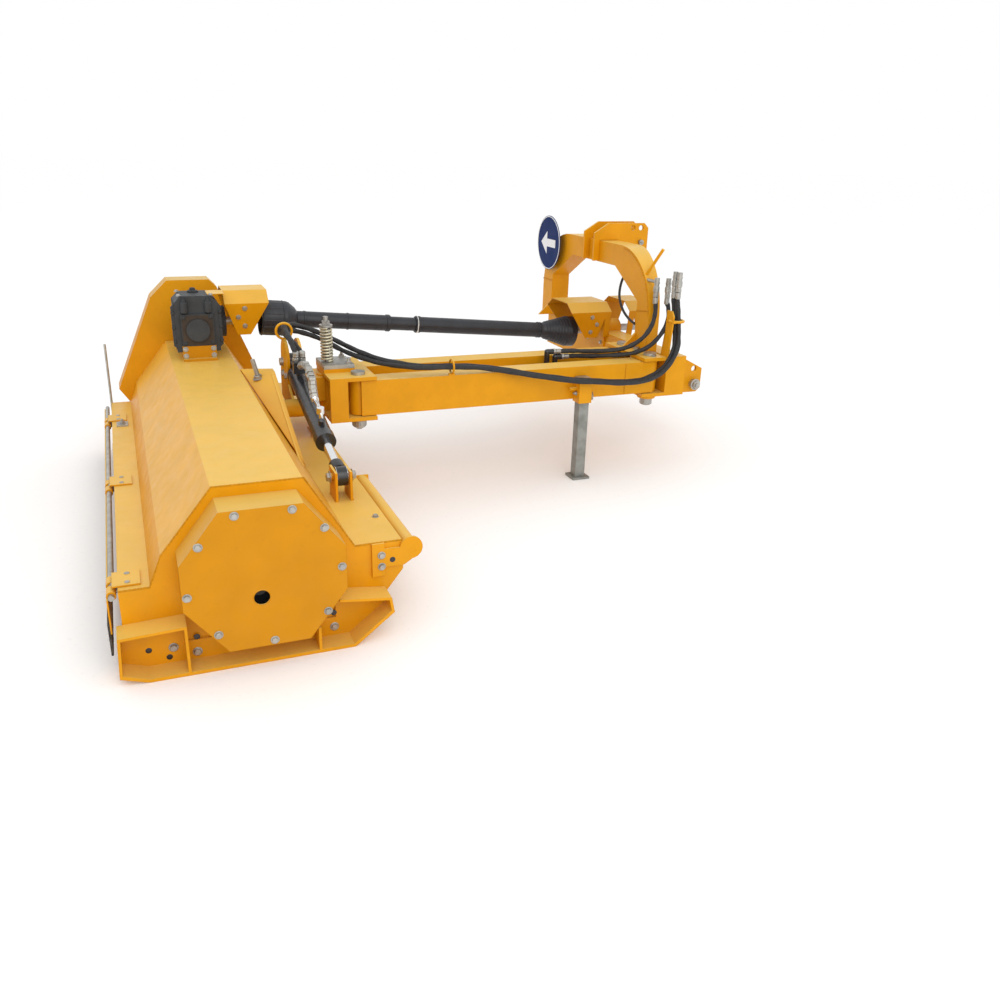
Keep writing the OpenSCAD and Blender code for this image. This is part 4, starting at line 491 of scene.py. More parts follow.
# %% swing hose routes
SWING_A = [(-1232.8, 1510.8, 497), (-1231.8, 1540, 497), (-1222, 1590, 497), (-1195, 1640, 500),
           (-1160, 1700, 506), (-1130, 1760, 512), (-1110, 1815, 524), (-1096, 1872, 550), (-1090, 1922, 596),
           (-1092, 1956, 655), (-1104, 1962, 712), (-1112, 1956, 742), (-1112, 1956, 765)]
SWING_B = [(-1234.2, 1470.8, 521), (-1233.2, 1500, 521), (-1224, 1560, 521), (-1200, 1620, 522),
           (-1168, 1690, 526), (-1140, 1760, 536), (-1128, 1812, 556), (-1120, 1858, 590), (-1120, 1894, 636),
           (-1126, 1910, 686), (-1134, 1913, 732), (-1136, 1912, 750), (-1136, 1912, 765)]
print("swing hoses", len(SWING_A), "and", len(SWING_B), "points")


# %% smooth curve through a route
def smooth_path(points, steps=10):
    """A Catmull-Rom line through listed points."""
    pts = [Vector(p) for p in points]
    pts = [pts[0] * 2 - pts[1]] + pts + [pts[-1] * 2 - pts[-2]]
    out = []
    for a, b, c, d in zip(pts, pts[1:], pts[2:], pts[3:]):
        for k in range(steps):
            t = k / steps
            out.append(0.5 * (2 * b + (c - a) * t + (2 * a - 5 * b + 4 * c - d) * t * t
                              + (3 * b - a - 3 * c + d) * t ** 3))
    return out + [pts[-2]]


def run_length(path):
    return sum((b - a).length for a, b in zip(path, path[1:])) / MM


print("longest route %.2f m" % run_length(smooth_path(TILT_A)))

# %% [markdown]
# ## Hose sleeves
# Each hose wears a black fabric sleeve that swells and creases a little. A curve with a round bevel would
# look like wire, so the sleeve is drawn ring by ring with a few slow waves in each ring. Where a hose passes
# from one moving body to the next it is cut into segments.

# %% hose sleeves
SWELL, CREASE, CROSS_CREASE = 0.05, 0.06, 0.04
LONG_WAVE, SHORT_WAVE, CREASE_WAVE, CROSS_WAVE = 0.31, 0.83, 0.19, 0.43
HOSE_STEPS, HOSE_SHARP = 10, 50


def sleeve_rows(path, r, seed, sides=14):
    rng = random.Random(seed)
    start_a, start_b, start_c = (rng.uniform(0, 6.28) for _ in range(3))
    rows = []
    for i, p, u, v in along_path(path):
        swell = 1 + SWELL * math.sin(i * SHORT_WAVE + start_a) + SWELL * math.sin(i * LONG_WAVE + start_b)
        row = []
        for k in range(sides):
            a = 2 * math.pi * k / sides
            crease = (1 + CREASE * math.sin(3 * a + i * CREASE_WAVE + start_c)
                      + CROSS_CREASE * math.sin(2 * a - i * CROSS_WAVE))
            row.append(p + r * swell * crease * (u * math.cos(a) + v * math.sin(a)))
        rows.append(row)
    return rows


def hose(name, route, cuts, node, seed):
    """Each cut gives the first and last point; the bodies before and after and where the bend lies are not
    used.
    """
    path = smooth_path(route, HOSE_STEPS)
    rows = sleeve_rows(path, HOSE_R, seed)
    for n, (a, b, before, after, start, end) in enumerate(cuts):
        part = slice(a * HOSE_STEPS, b * HOSE_STEPS + 1)
        obj = Shape().rings(rows[part]).make("%s_%d" % (name, n + 1), None, "hose", HOSE_SHARP)
        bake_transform(obj)
        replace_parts(obj, node)
    print(name, "%.2f m" % run_length(path))


# %% hoses
hose("tilt_hose_a", TILT_A, [
    (0, 5, "tilt_barrel", "knuckle", 1, 5), (5, 11, "knuckle", "carrier", 6, 11),
    (11, 16, "carrier", "near_arm", 11, 15),
    (16, len(TILT_A) - 1, "near_arm", "headstock", 21, 28)], "tilt_hoses", 3)
hose("tilt_hose_b", TILT_B, [
    (0, 4, "tilt_barrel", "knuckle", 1, 4), (4, 10, "knuckle", "carrier", 5, 10),
    (10, 15, "carrier", "near_arm", 10, 14),
    (15, len(TILT_B) - 1, "near_arm", "headstock", 20, 27)], "tilt_hoses", 5)
hose("swing_hose_a", SWING_A, [(0, 12, "swing_barrel", "headstock", 2, 9)], "swing_hoses", 8)
hose("swing_hose_b", SWING_B, [(0, 12, "swing_barrel", "headstock", 2, 9)], "swing_hoses", 9)

# %% [markdown]
# ## Hose ends
# A hose ends in a zinc ferrule: a hex nut and a crimped sleeve with two grooves. A plain drum would do at a
# distance, but the grooves catch the light. At the headstock each one meets a quick coupling with a knurled
# collar, for which a few thin rings stand.

# %% ferrules on the cylinders
FERRULE_R, FERRULE_LENGTH = 11.0, 34.0
FERRULE_NUT = ((-2, 1.18), (9, 1.22), (11, 1.08))
FERRULE_GROOVES = ((9, 0.86), (13, 0.86), (14, 1.02), (18, 1.06), (19, 1.0), (24, 1.0), (25, 1.06))


def ferrule(shape, p, d, length=FERRULE_LENGTH):
    w = Vector(d).normalized()
    shape.rings([ring(Vector(p) + w * a, w, FERRULE_R * share, 6) for a, share in FERRULE_NUT])
    crimp = (*FERRULE_GROOVES, (length - 2, 1.04), (length, 0.93))
    shape.lathe(p, d, [(a, FERRULE_R * share) for a, share in crimp], 24)


for name, body, routes in (("tilt_ferrules", "tilt_barrel", (TILT_A, TILT_B)),
                           ("swing_ferrules", "swing_barrel", (SWING_A, SWING_B))):
    starts = Shape()
    for route in routes:
        ferrule(starts, route[0], Vector(route[1]) - Vector(route[0]))
    starts.make(name, body, "zinc")


# %% couplings on the headstock
def torus(shape, p, d, r, wire, sides=36, around=10):
    u, v, w = basis(d)
    rows = []
    for k in range(sides):
        a = 2 * math.pi * k / sides
        out = u * math.cos(a) + v * math.sin(a)
        rows.append([Vector(p) + out * (r + wire * math.cos(b)) + w * wire * math.sin(b)
                     for b in (2 * math.pi * j / around for j in range(around))])
    return shape.rings(rows, closed=True)


COLLAR = [(16, 11.5), (18, 13.5), (40, 13.5), (42, 11.5)]
COLLAR_LIP = [(52, 11.2), (53, 12.6), (60, 12.6), (61, 11.2)]
COUPLING_FERRULE, COUPLING_LIFT = 40.0, Vector((0, 0, 6))
KNURLS, KNURL_FIRST, KNURL_STEP, KNURL_R, KNURL_WIRE = 4, 21, 5, 13.4, 0.9
ends = Shape()
for route in (TILT_A, TILT_B, SWING_A, SWING_B):
    top = Vector(route[-1])
    ferrule(ends, top + COUPLING_LIFT, DOWN, COUPLING_FERRULE)
    for profile in (COLLAR, COLLAR_LIP):
        ends.lathe(top, UP, profile, 28)
    for k in range(KNURLS):
        torus(ends, top + Vector((0, 0, KNURL_FIRST + KNURL_STEP * k)), UP, KNURL_R, KNURL_WIRE, 28, 6)
ends.make("coupler_collars", "headstock", "zinc")

# %% [markdown]
# ## Fittings on the tilt cylinder
# A chain of nuts, elbows and short stubs runs over the cylinder and ends in a bent pipe to its front port.
# It could be one bent tube; drawing each stub with two hex nuts and each elbow as a small drum gives the
# broken outline that the chain has.

# %% fitting chain
CHAIN = [(-1036, 569), (-986, 588), (-924, 600), (-868, 596), (-815, 572), (-806, 540), (-786, 510)]
STUB_R, NUT_SHARES = 8.0, (0.12, 0.55)
CHAIN_NUT = ((0, 13.5), (1.5, 15.0), (13, 15.0), (14.5, 13.5))
ELBOW, ELBOW_HALF = [(0, 9), (2, 12.5), (22, 12.5), (24, 9)], 12
chain = Shape()
points = [Vector((x, TILT_Y, z)) for x, z in CHAIN]
for p, q in zip(points, points[1:]):
    d = (q - p).normalized()
    chain.rod(p, q, STUB_R, 20)
    for share in NUT_SHARES:
        at = p.lerp(q, share)
        chain.rings([ring(at + d * a, d, b, 6) for a, b in CHAIN_NUT])
for p in points[1:-1]:
    chain.lathe(p - Vector((0, ELBOW_HALF, 0)), FRONT, ELBOW, 24)
chain.make("tilt_fittings", "tilt_barrel", "zinc")


# %% bent pipe
def tube(shape, path, r, sides=12):
    return shape.rings([circle(p, u, v, r, sides) for _, p, u, v in along_path(path)])


PIPE = [(-786, 510), (-760, 505), (-716, 500), (-690, 494), (-682, 478), (-685, 460)]
PIPE_R = 7.0
REAR_NUT, REAR_NUT_LINE = [(-6, 11), (-4, 13), (12, 13), (14, 10)], (0.98, 0, -0.17)
PORT_NUT, PORT_NUT_LINE = [(-14, 9), (-12, 13), (10, 14), (12, 11)], (-0.2, 0, -0.98)
pipe = tube(Shape(), smooth_path([(x, TILT_Y, z) for x, z in PIPE], 8), PIPE_R, 16)
pipe.lathe((-786, TILT_Y, 510), REAR_NUT_LINE, REAR_NUT, 24)
pipe.lathe((-690, TILT_Y, 492), PORT_NUT_LINE, PORT_NUT, 24)
pipe.make("tilt_pipe", "tilt_barrel", "chrome")

# %% [markdown]
# ## Breakaway spring
# A plated coil spring on a bolt holds the head in line and lets it swing back when it strikes something. The
# CAD spring has few faces, and Blender's screw modifier gives an even pitch only, so the wire's path is
# worked out here: a slow rise in the closed end coils and a steady one between them.

# %% breakaway spring
SPRING_LOW, SPRING_LENGTH, SPRING_R = 544.6, 130.0, 21.0
SPRING_WIRE, SPRING_TURNS, SPRING_CLOSED = 4.5, 11, 0.8
WIRE_PITCH, TURN_STEPS = 2.05, 28


def spring_height(t):
    flat = SPRING_WIRE * WIRE_PITCH
    pitch = (SPRING_LENGTH - 2 * SPRING_CLOSED * flat) / (SPRING_TURNS - 2 * SPRING_CLOSED)
    low = min(t, SPRING_CLOSED) * flat
    middle = max(0, min(t, SPRING_TURNS - SPRING_CLOSED) - SPRING_CLOSED) * pitch
    return low + middle + max(0, t - SPRING_TURNS + SPRING_CLOSED) * flat


spring_x, spring_y, _ = joint_at("breakaway")
helix = []
for i in range(SPRING_TURNS * TURN_STEPS + 1):
    a = 2 * math.pi * i / TURN_STEPS
    helix.append(Vector((spring_x + SPRING_R * math.cos(a), spring_y + SPRING_R * math.sin(a),
                         SPRING_LOW + spring_height(i / TURN_STEPS))))
coil = tube(Shape(), helix, SPRING_WIRE).make("spring_coils", "knuckle", "spring", 60)
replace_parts(coil, "breakaway_spring")

# %% [markdown]
# ## Bolts
# A bolt is a hex head on a round washer, sometimes with the thread's end standing out. One plain drum each
# would be cheaper, but the flats catch the light. Fitters don't line the flats up, so each head is turned by
# a seeded random angle.

# %% bolt
WASHER_T, WASHER_SHARE, WASHER_TOP_SHARE = 1.8, 1.35, 1.25
HEAD_TOP_SHARE, STUD_SHARE, SUNK = 0.86, 0.52, 0.5
SHORT_STUD, STUD, LONG_STUD = 6, 8, 10
SHEET_BOLT, LID_BOLT, CASE_BOLT = (8, 6), (7, 5), (6.5, 5)


def bolt(shape, p, d, size, stud=0.0):
    """The size is half the head's width over its corners, and its height."""
    p, w, t = Vector(p), Vector(d).normalized(), WASHER_T
    r, h = size
    turn = random.uniform(0, 1.0)
    washer = [(-SUNK, r * WASHER_SHARE), (t * 0.6, r * WASHER_SHARE), (t, r * WASHER_TOP_SHARE)]
    shape.lathe(p, w, washer, 24)
    head = ((t - 0.2, r), (t + h * 0.8, r), (t + h, r * HEAD_TOP_SHARE))
    shape.rings([ring(p + w * a, w, b, 6, turn) for a, b in head])
    if stud:
        shape.rod(p + w * (t + h - SUNK), p + w * (t + h + stud), r * STUD_SHARE, 16)


print("sheet bolt", SHEET_BOLT, "on a washer of", WASHER_T, "mm")

# %% [markdown]
# ## End cover
# Nine bolts hold the eight-sided cover over the rotor's outer end, and a hole in line with the rotor gives
# access to its bearing. The bolts' places are shares of the cover's half width and height, so they follow
# the cover. A thin torus rounds the hole's edge, which a cut in sheet never leaves quite sharp.

# %% end cover
COVER_X, COVER_Z, COVER_HALF_Y, COVER_HALF_Z = 110.0, 274.0, 217.0, 203.0
COVER_SHARES = [(-0.32, 0.93), (0.36, 0.93), (0.74, 0.62), (0.94, 0.02), (0.74, -0.62), (0.05, -0.93),
                (-0.62, -0.72), (-0.94, -0.12), (-0.76, 0.56)]
COVER_BOLT = (9.0, 6.0)
LIP_R, LIP_WIRE, LIP_SUNK = 22.6, 1.6, 0.4
cover = Shape()
for y, z in COVER_SHARES:
    bolt(cover, (COVER_X, y * COVER_HALF_Y, COVER_Z + z * COVER_HALF_Z), OUT, COVER_BOLT)
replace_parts(cover.make("cover_hex_bolts", "head", "zinc"), "cover_bolts")
_, rotor_y, rotor_z = joint_at("rotor_spin")
lip = torus(Shape(), (COVER_X - LIP_SUNK, rotor_y, rotor_z), OUT, LIP_R, LIP_WIRE, 48, 10)
lip.make("cover_hole_lip", "head", "yellow")

# %% [markdown]
# ## Bolts on the head
# The skid, the guard bar's bracket, the gearbox with its stand and guard, the hinges and the shelf are all
# bolted to the head. They ride on one body and share one finish, so three short cells fill one collector.

# %% bolts on the skid and bracket
SKID_FACE = 8
SKID_BOLTS = ((-249, 56), (-188, 31), (196, 38))
BRACKET_Y, BRACKET_BOLTS_Z = 342, (245, 209)
SKID_BOLT, BRACKET_BOLT = (10, 7), (9, 7)
head = Shape()
for y, z in SKID_BOLTS:
    bolt(head, (SKID_FACE, y, z), OUT, SKID_BOLT)
for z in BRACKET_BOLTS_Z:
    bolt(head, (SKID_FACE, BRACKET_Y, z), OUT, BRACKET_BOLT)
print("head bolts so far", len(head.corners), "corners")

# %% bolts on the gearbox
GEAR_STAND_X, STAND_BOLTS_Y, STAND_BOLTS_Z = -1520, (-55, 55), (525, 553)
GEAR_TOP, GEAR_STEP_TOP, LID_BOLTS_Y = 765, 703, (-62, 62)
LID_BOLTS = ((-1810, GEAR_STEP_TOP), (-1704, GEAR_STEP_TOP), (-1664, GEAR_TOP), (-1550, GEAR_TOP))
BOLT_UNDER_GUARD = (-1664, 62)
FLANGE_Y, FLANGE_R, FLANGE_ANGLES = 85, 76, (0, 45, 135, 180, 225, 315)
GUARD_TOP_X, GUARD_TOP_Z, GUARD_DROP, GUARD_SPREAD = -1580, 720, 135, 30
GUARD_BOLTS = ((198, 699), (171, 662), (197, 623))
for y in STAND_BOLTS_Y:
    for z in STAND_BOLTS_Z:
        bolt(head, (GEAR_STAND_X, y, z), OUT, SHEET_BOLT)
for x, z in LID_BOLTS:
    for y in LID_BOLTS_Y:
        if (x, y) != BOLT_UNDER_GUARD:
            bolt(head, (x, y, z), UP, LID_BOLT)
for a in map(math.radians, FLANGE_ANGLES):
    at = (SHAFT_X + FLANGE_R * math.cos(a), FLANGE_Y, GEAR_Z + FLANGE_R * math.sin(a))
    bolt(head, at, FRONT, CASE_BOLT)
for y, z in GUARD_BOLTS:
    x = GUARD_TOP_X - GUARD_SPREAD * (GUARD_TOP_Z - z) / GUARD_DROP
    bolt(head, (x, y, z), (GUARD_DROP, 0, -GUARD_SPREAD), SHEET_BOLT)
print("head bolts so far", len(head.corners), "corners")

# %% bolts on the hinges, shelf and rod lugs
HINGES, HINGE_BOLTS, HINGE_BOLT_Y = (-1680.0, -877.5, -75.0), (-28, 28), -345
REAR_SHELF, FRONT_SHELF, SHELF_BOLT_Y = 240, 280, 380
CLIP_X, CLIP_BOLT_Y, CLIP_TOP, CLIP_NUT = -1581, -330, 246, (11, 9)
SHELF_BOLTS_X = (-1700, -900, -200)
LUG_HALF, LUG_NUT = 36, (15, 10)
for x in HINGES:
    for dx in HINGE_BOLTS:
        bolt(head, (x + dx, HINGE_BOLT_Y, REAR_SHELF), UP, SHEET_BOLT)
bolt(head, (CLIP_X, CLIP_BOLT_Y, CLIP_TOP), UP, CLIP_NUT, STUD)
for x in SHELF_BOLTS_X:
    bolt(head, (x, SHELF_BOLT_Y, FRONT_SHELF), UP, SHEET_BOLT)
for side in (BACK, FRONT):
    bolt(head, TILT_EYE + LUG_HALF * Vector(side), side, LUG_NUT)
head.make("head_bolts", "head", "zinc")

# %% [markdown]
# ## Bolts and pins on the headstock
# The shaft's guard is bolted to a leaning plate, the lower hitch pins end in large nuts, each arm pin has a
# round head with a small lock bolt, and the top link pin hangs on two rings. All are zinc and fixed to the
# headstock, so they are one piece.

# %% bolts on the headstock
STOCK_GUARD_X, STOCK_GUARD_TOP, STOCK_GUARD_DROP, STOCK_GUARD_SPREAD = -1565, 622, 127, 20
STOCK_GUARD_BOLTS = ((1837, 597), (1867, 561), (1837, 524))
HITCH_PINS, HITCH_PIN_Y, HITCH_PIN_Z, HITCH_NUT = ((-1226, OUT), (-2214, IN)), 2235, 320, (20, 12)
CLEVIS_TOP, PIN_HEAD_R, PIN_HEAD_T, LOCK_BOLT = 510, 30, 6, 34
RING_HALF, RING_Y, RING_Z, RING_LEAN, RING_R, RING_WIRE = 66, 2125, 940, (0, 0.3, 1), 13, 2
BEARING_HALF, BEARING_FACE, STUB_Z, BEARING_RISE = 70, 1928, 515, 56
stock = Shape()
for y, z in STOCK_GUARD_BOLTS:
    x = STOCK_GUARD_X - STOCK_GUARD_SPREAD * (STOCK_GUARD_TOP - z) / STOCK_GUARD_DROP
    bolt(stock, (x, y, z), (STOCK_GUARD_DROP, 0, -STOCK_GUARD_SPREAD), SHEET_BOLT)
for x, side in HITCH_PINS:
    bolt(stock, (x, HITCH_PIN_Y, HITCH_PIN_Z), side, HITCH_NUT, STUD)
for x in (NEAR_X, FAR_X):
    stock.rod((x, STOCK_Y, CLEVIS_TOP), (x, STOCK_Y, CLEVIS_TOP + PIN_HEAD_T), PIN_HEAD_R, 36)
    bolt(stock, (x + LOCK_BOLT, STOCK_Y, CLEVIS_TOP), UP, LID_BOLT)
for side in (-1, 1):
    torus(stock, (HITCH_X + side * RING_HALF, RING_Y, RING_Z), RING_LEAN, RING_R, RING_WIRE, 24, 8)
    for rise in (-BEARING_RISE, BEARING_RISE):
        bolt(stock, (SHAFT_X + side * BEARING_HALF, BEARING_FACE, STUB_Z + rise), BACK, SHEET_BOLT)
stock.make("headstock_bolts", "headstock", "zinc")

# %% [markdown]
# ## Jack bolt and pull pin
# The jack leg is held in its sleeve by a clamp bolt and a pull pin with a ring. The ring is a torus that
# hangs a little askew, because a straight one would look drawn.

# %% jack bolt and pull pin
JACK_BOLT, CLAMP_BOLT = (-1020, 1485, 385), (8, 8)
PULL_RING, PULL_RING_LEAN, PULL_RING_R, PULL_RING_WIRE = (-1001, 1553, 372), (0.3, 1, 0), 15, 2.5
PULL_PIN, PULL_PIN_R = ((-1020, 1538, 388), (-1004, 1553, 388)), 4
arm = Shape()
bolt(arm, JACK_BOLT, BACK, CLAMP_BOLT, SHORT_STUD)
torus(arm, PULL_RING, PULL_RING_LEAN, PULL_RING_R, PULL_RING_WIRE, 28, 8)
arm.rod(*PULL_PIN, PULL_PIN_R, 16)
arm.make("near_arm_bolts", "near_arm", "zinc")

# %% [markdown]
# ## Carrier nuts
# Under the carrier each arm pin ends in a tall round nut with grooves for a hook spanner. The nut is turned
# from a profile, and thin rods round its rim stand for the ridges between the grooves, which saves cutting.

# %% carrier nuts
CARRIER_TOP, CARRIER_HEAD_R, CARRIER_HEAD_T, CARRIER_FOOT = 510, 28, 5, 333
CARRIER_NUT = [(0, 24), (3, 27), (34, 27), (38, 23), (44, 12), (46, 11)]
RIDGES, RIDGE_RING, RIDGE_R, RIDGE_TOP, RIDGE_LOW = 18, 27, 2.2, 329, 301
carrier = Shape()
for x in (NEAR_X, FAR_X):
    carrier.rod((x, CARRIER_Y, CARRIER_TOP), (x, CARRIER_Y, CARRIER_TOP + CARRIER_HEAD_T), CARRIER_HEAD_R, 36)
    carrier.lathe((x, CARRIER_Y, CARRIER_FOOT), DOWN, CARRIER_NUT, 36)
    for k in range(RIDGES):
        a = 2 * math.pi * k / RIDGES
        rim = Vector((x + RIDGE_RING * math.cos(a), CARRIER_Y + RIDGE_RING * math.sin(a), 0))
        carrier.rod(rim + Vector((0, 0, RIDGE_TOP)), rim + Vector((0, 0, RIDGE_LOW)), RIDGE_R, 8)
carrier.make("carrier_nuts", "carrier", "zinc")

# %% [markdown]
# ## Clevis bosses
# Under the headstock's clevis plates a painted boss carries each arm pin, with a plain round nut below it.
# Boss and nut have different finishes, so they are two pieces made by the same loop.

# %% clevis bosses
BOSS = [(0, 46), (2, 46), (16, 40), (18, 36)]
CLEVIS_NUT = [(0, 25), (3, 28), (26, 28), (30, 24), (34, 13)]
for name, top, profile, sides, finish_name in (("clevis_bosses", 334, BOSS, 40, "orange"),
                                               ("clevis_nuts", 316, CLEVIS_NUT, 36, "zinc")):
    turned = Shape()
    for x in (NEAR_X, FAR_X):
        turned.lathe((x, STOCK_Y, top), DOWN, profile, sides)
    turned.make(name, "headstock", finish_name)

# %% [markdown]
# ## Bolts on the knuckle
# The knuckle carries the tilt cylinder's base between two plates, with a large nut at each end of the pin,
# and two long bolts hold its upper detent plate. They follow the breakaway, so they ride on the knuckle.

# %% bolts on the knuckle
PLATE_BOLTS = ((-1248, 497), (-1182, 500))
PLATE_HALF, PLATE_BOLT, TILT_NUT, DETENT_NUT = 30, (11, 8), (15, 8), (11, 9)
DETENT_BOLTS_X, DETENT_Y, DETENT_TOP = (-1282, -1158), 532, 540.5
knuckle = Shape()
for x, z in PLATE_BOLTS:
    bolt(knuckle, (x, TILT_Y - PLATE_HALF, z), BACK, PLATE_BOLT)
for side in (BACK, FRONT):
    bolt(knuckle, TILT_BASE + PLATE_HALF * Vector(side), side, TILT_NUT)
for x in DETENT_BOLTS_X:
    bolt(knuckle, (x, DETENT_Y, DETENT_TOP), UP, DETENT_NUT, LONG_STUD)
knuckle.make("knuckle_bolts", "knuckle", "zinc")

# %% [markdown]
# ## Weld beads
# The frame is welded from plate and box tube. A bead is a thin tube that swells a little at each step of the
# torch. A bump in the paint could hint at it, but it wouldn't show in the outline; without beads the joints
# would look moulded.

# %% weld bead
BEAD_STEP, BEAD_WAVE, BEAD_RATE, BEAD_SPREAD, BEAD_SHARP = 4.0, 0.16, 2.1, 0.08, 60
THIN_BEAD, SEAM_BEAD, PLATE_BEAD = 1.6, 2.4, 2.6


def bead(shape, points, r=3.2):
    path = []
    for a, b in zip(points, points[1:]):
        a, b = Vector(a), Vector(b)
        count = max(2, int((b - a).length / BEAD_STEP))
        path += [a.lerp(b, k / count) for k in range(count)]
    path.append(Vector(points[-1]))
    rows = []
    for i, p, u, v in along_path(path):
        size = r * (1 + BEAD_WAVE * math.sin(i * BEAD_RATE) + random.uniform(-BEAD_SPREAD, BEAD_SPREAD))
        rows.append(circle(p, u, v, size, 8))
    shape.rings(rows)


print("one bead ring every", BEAD_STEP, "mm")

# %% [markdown]
# ## Welds on the headstock
# The arch is bent from box tube and welded to the beam, the hitch plates to the beam's face and the top link
# plates to the arch. Each line below is one seam between two plates; only the arch's seam is round, and an
# arc gives it.

# %% welds on the headstock
ARCH_HALF, ARCH_BEND, ARCH_TOP, ARCH_BACK, SEAM_R = 560, 290, 950, 1899, 281
BEAM_TOP, BEAM_FRONT = 511, 2041
arch_mid = Vector((HITCH_X + ARCH_HALF - ARCH_BEND, ARCH_BACK, ARCH_TOP - ARCH_BEND))
welds = Shape()
bead(welds, [arch_mid + SEAM_R * Vector((math.sin(a), 0, math.cos(a)))
             for a in map(math.radians, range(4, 92, 4))], SEAM_BEAD)
bead(welds, [(-1269, ARCH_BACK, 680), (-1161, ARCH_BACK, 694)], PLATE_BEAD)
bead(welds, [(-2280, ARCH_BACK, 690), (-2171, ARCH_BACK, 690)], PLATE_BEAD)
bead(welds, [(-1270, ARCH_BACK, BEAM_TOP), (-1160, ARCH_BACK, BEAM_TOP)])
bead(welds, [(-1159, 1902, BEAM_TOP), (-1159, 1953, BEAM_TOP)])
for x in (-1252, -1363):
    bead(welds, [(x, BEAM_FRONT, 280), (x, BEAM_FRONT, 466)])
for x in (-1661, -1779):
    bead(welds, [(x, ARCH_BACK, 952), (x, 2001, 952)], PLATE_BEAD)
bead(welds, [(-1400, 1939, BEAM_TOP), (-1041, 1939, BEAM_TOP)], 2.8)
welds.make("headstock_welds", "headstock", "weld", BEAD_SHARP)

# %% [markdown]
# ## Welds on the arm and head
# The near arm has a seam at its end boss and one along the jack sleeve. On the head, the tilt ears and rod
# lugs are welded to the front shelf, and the deck to its outer end plate along the whole bent edge.

# %% welds on the arm and head
SHELF_SEAM, PLATE_SEAM = 281, -2
welds = Shape()
bead(welds, [(-1049.5, 1738, 354), (-1049.5, 1738, 490)], THIN_BEAD)
bead(welds, [(-1049, 1485, 448), (-1049, 1545, 448)], SEAM_BEAD)
welds.make("near_arm_welds", "near_arm", "weld", BEAD_SHARP)
welds = Shape()
for y in (225, 240, 365, 380):
    bead(welds, [(-1194, y, SHELF_SEAM), (-592, y, SHELF_SEAM)], 3.0)
for y in (292, 348):
    bead(welds, [(-444, y, SHELF_SEAM), (-356, y, SHELF_SEAM)], PLATE_BEAD)
for edge in (((132, 506), (-112, 506), (-255, 328), (-290, 242), (-368, 242)),
             ((132, 506), (266, 282), (408, 282))):
    bead(welds, [(PLATE_SEAM, y, z) for y, z in edge], PLATE_BEAD)
welds.make("head_welds", "head", "weld", BEAD_SHARP)

# %% [markdown]
# ## Hinge plates
# The rear door hangs on three hinges, each under a painted plate on the rear shelf. A plate is an outline
# pushed up by its thickness, so the loop needs only the hinge's place.

# %% hinge plates
HINGE_PLATE_HALF, HINGE_PLATE_Y, PLATE_FOOT, HINGE_PLATE_T = 45, (-384, -312), 240.5, 5


def shelf_plate(shape, x, half, y0, y1, t):
    shape.box((x - half, y0, PLATE_FOOT), (x + half, y1, PLATE_FOOT + t))


trim = Shape()
for x in HINGES:
    shelf_plate(trim, x, HINGE_PLATE_HALF, *HINGE_PLATE_Y, HINGE_PLATE_T)
trim.make("head_brackets", "head", "orange")

# %% [markdown]
# ## Latch bolt, clip plate and upright rod
# A threaded bolt leans out of the deck's ridge, a clip plate sits on the rear shelf and a thin rod stands up
# at the far rear corner. The thread could be a spiral; at this size a row of thin rings reads the same and
# costs less.

# %% latch bolt, clip plate and upright rod
CLIP_HALF, CLIP_Y, CLIP_T = 30, (-352, -308), 5.5
UPRIGHT, UPRIGHT_R = ((-1945, -369, 205), (-1945, -366, 505)), 5
LATCH_FOOT, LATCH_LENGTH, LATCH_R, LATCH_NUT = Vector((-1172, 181, 501)), 78, 8, (16, 12)
THREADS, THREAD_FIRST, THREAD_STEP, THREAD_WIRE = 12, 18, 5, 1.2
lean = Vector((0.08, -0.24, 0.967)).normalized()
latch = Shape()
shelf_plate(latch, CLIP_X, CLIP_HALF, *CLIP_Y, CLIP_T)
latch.rod(*UPRIGHT, UPRIGHT_R, 16)
latch.rod(LATCH_FOOT, LATCH_FOOT + lean * LATCH_LENGTH, LATCH_R, 20)
for k in range(THREADS):
    torus(latch, LATCH_FOOT + lean * (THREAD_FIRST + THREAD_STEP * k), lean, LATCH_R, THREAD_WIRE, 20, 6)
bolt(latch, LATCH_FOOT, lean, LATCH_NUT)
latch.make("latch_bolt", "head", "zinc")

# %% [markdown]
# ## Holes in the skid
# The skid can be bolted at other heights, so its flange has spare holes. Cutting them would mean a boolean
# on the CAD mesh, which stays untouched; a thin dark disc, painted shade for the dark inside of each hole,
# reads as a hole from any side.

# %% holes in the skid
SKID_HOLES = ((-313, 58), (-262, 28), (-186, 77), (196, 83), (375, 227))
HOLE_DISC, DISC_X = [(0, 8.5), (0.6, 8.5), (0.8, 7.5)], 7.7
# Each dark disc is painted shade, standing for the shadow seen through a hole.
holes = Shape()
for y, z in SKID_HOLES:
    holes.lathe((DISC_X, y, z), OUT, HOLE_DISC, 28)
holes.make("skid_hole_shade", "head", "black")

# %% [markdown]
# ## Gearbox casting
# A casting has raised rims where its halves meet, bosses for its bolts, a breather on top and a round cover
# on the near face. The CAD case holds the main form; these rims and bosses stand on it by a few millimetres,
# which is enough to catch light along the edges.

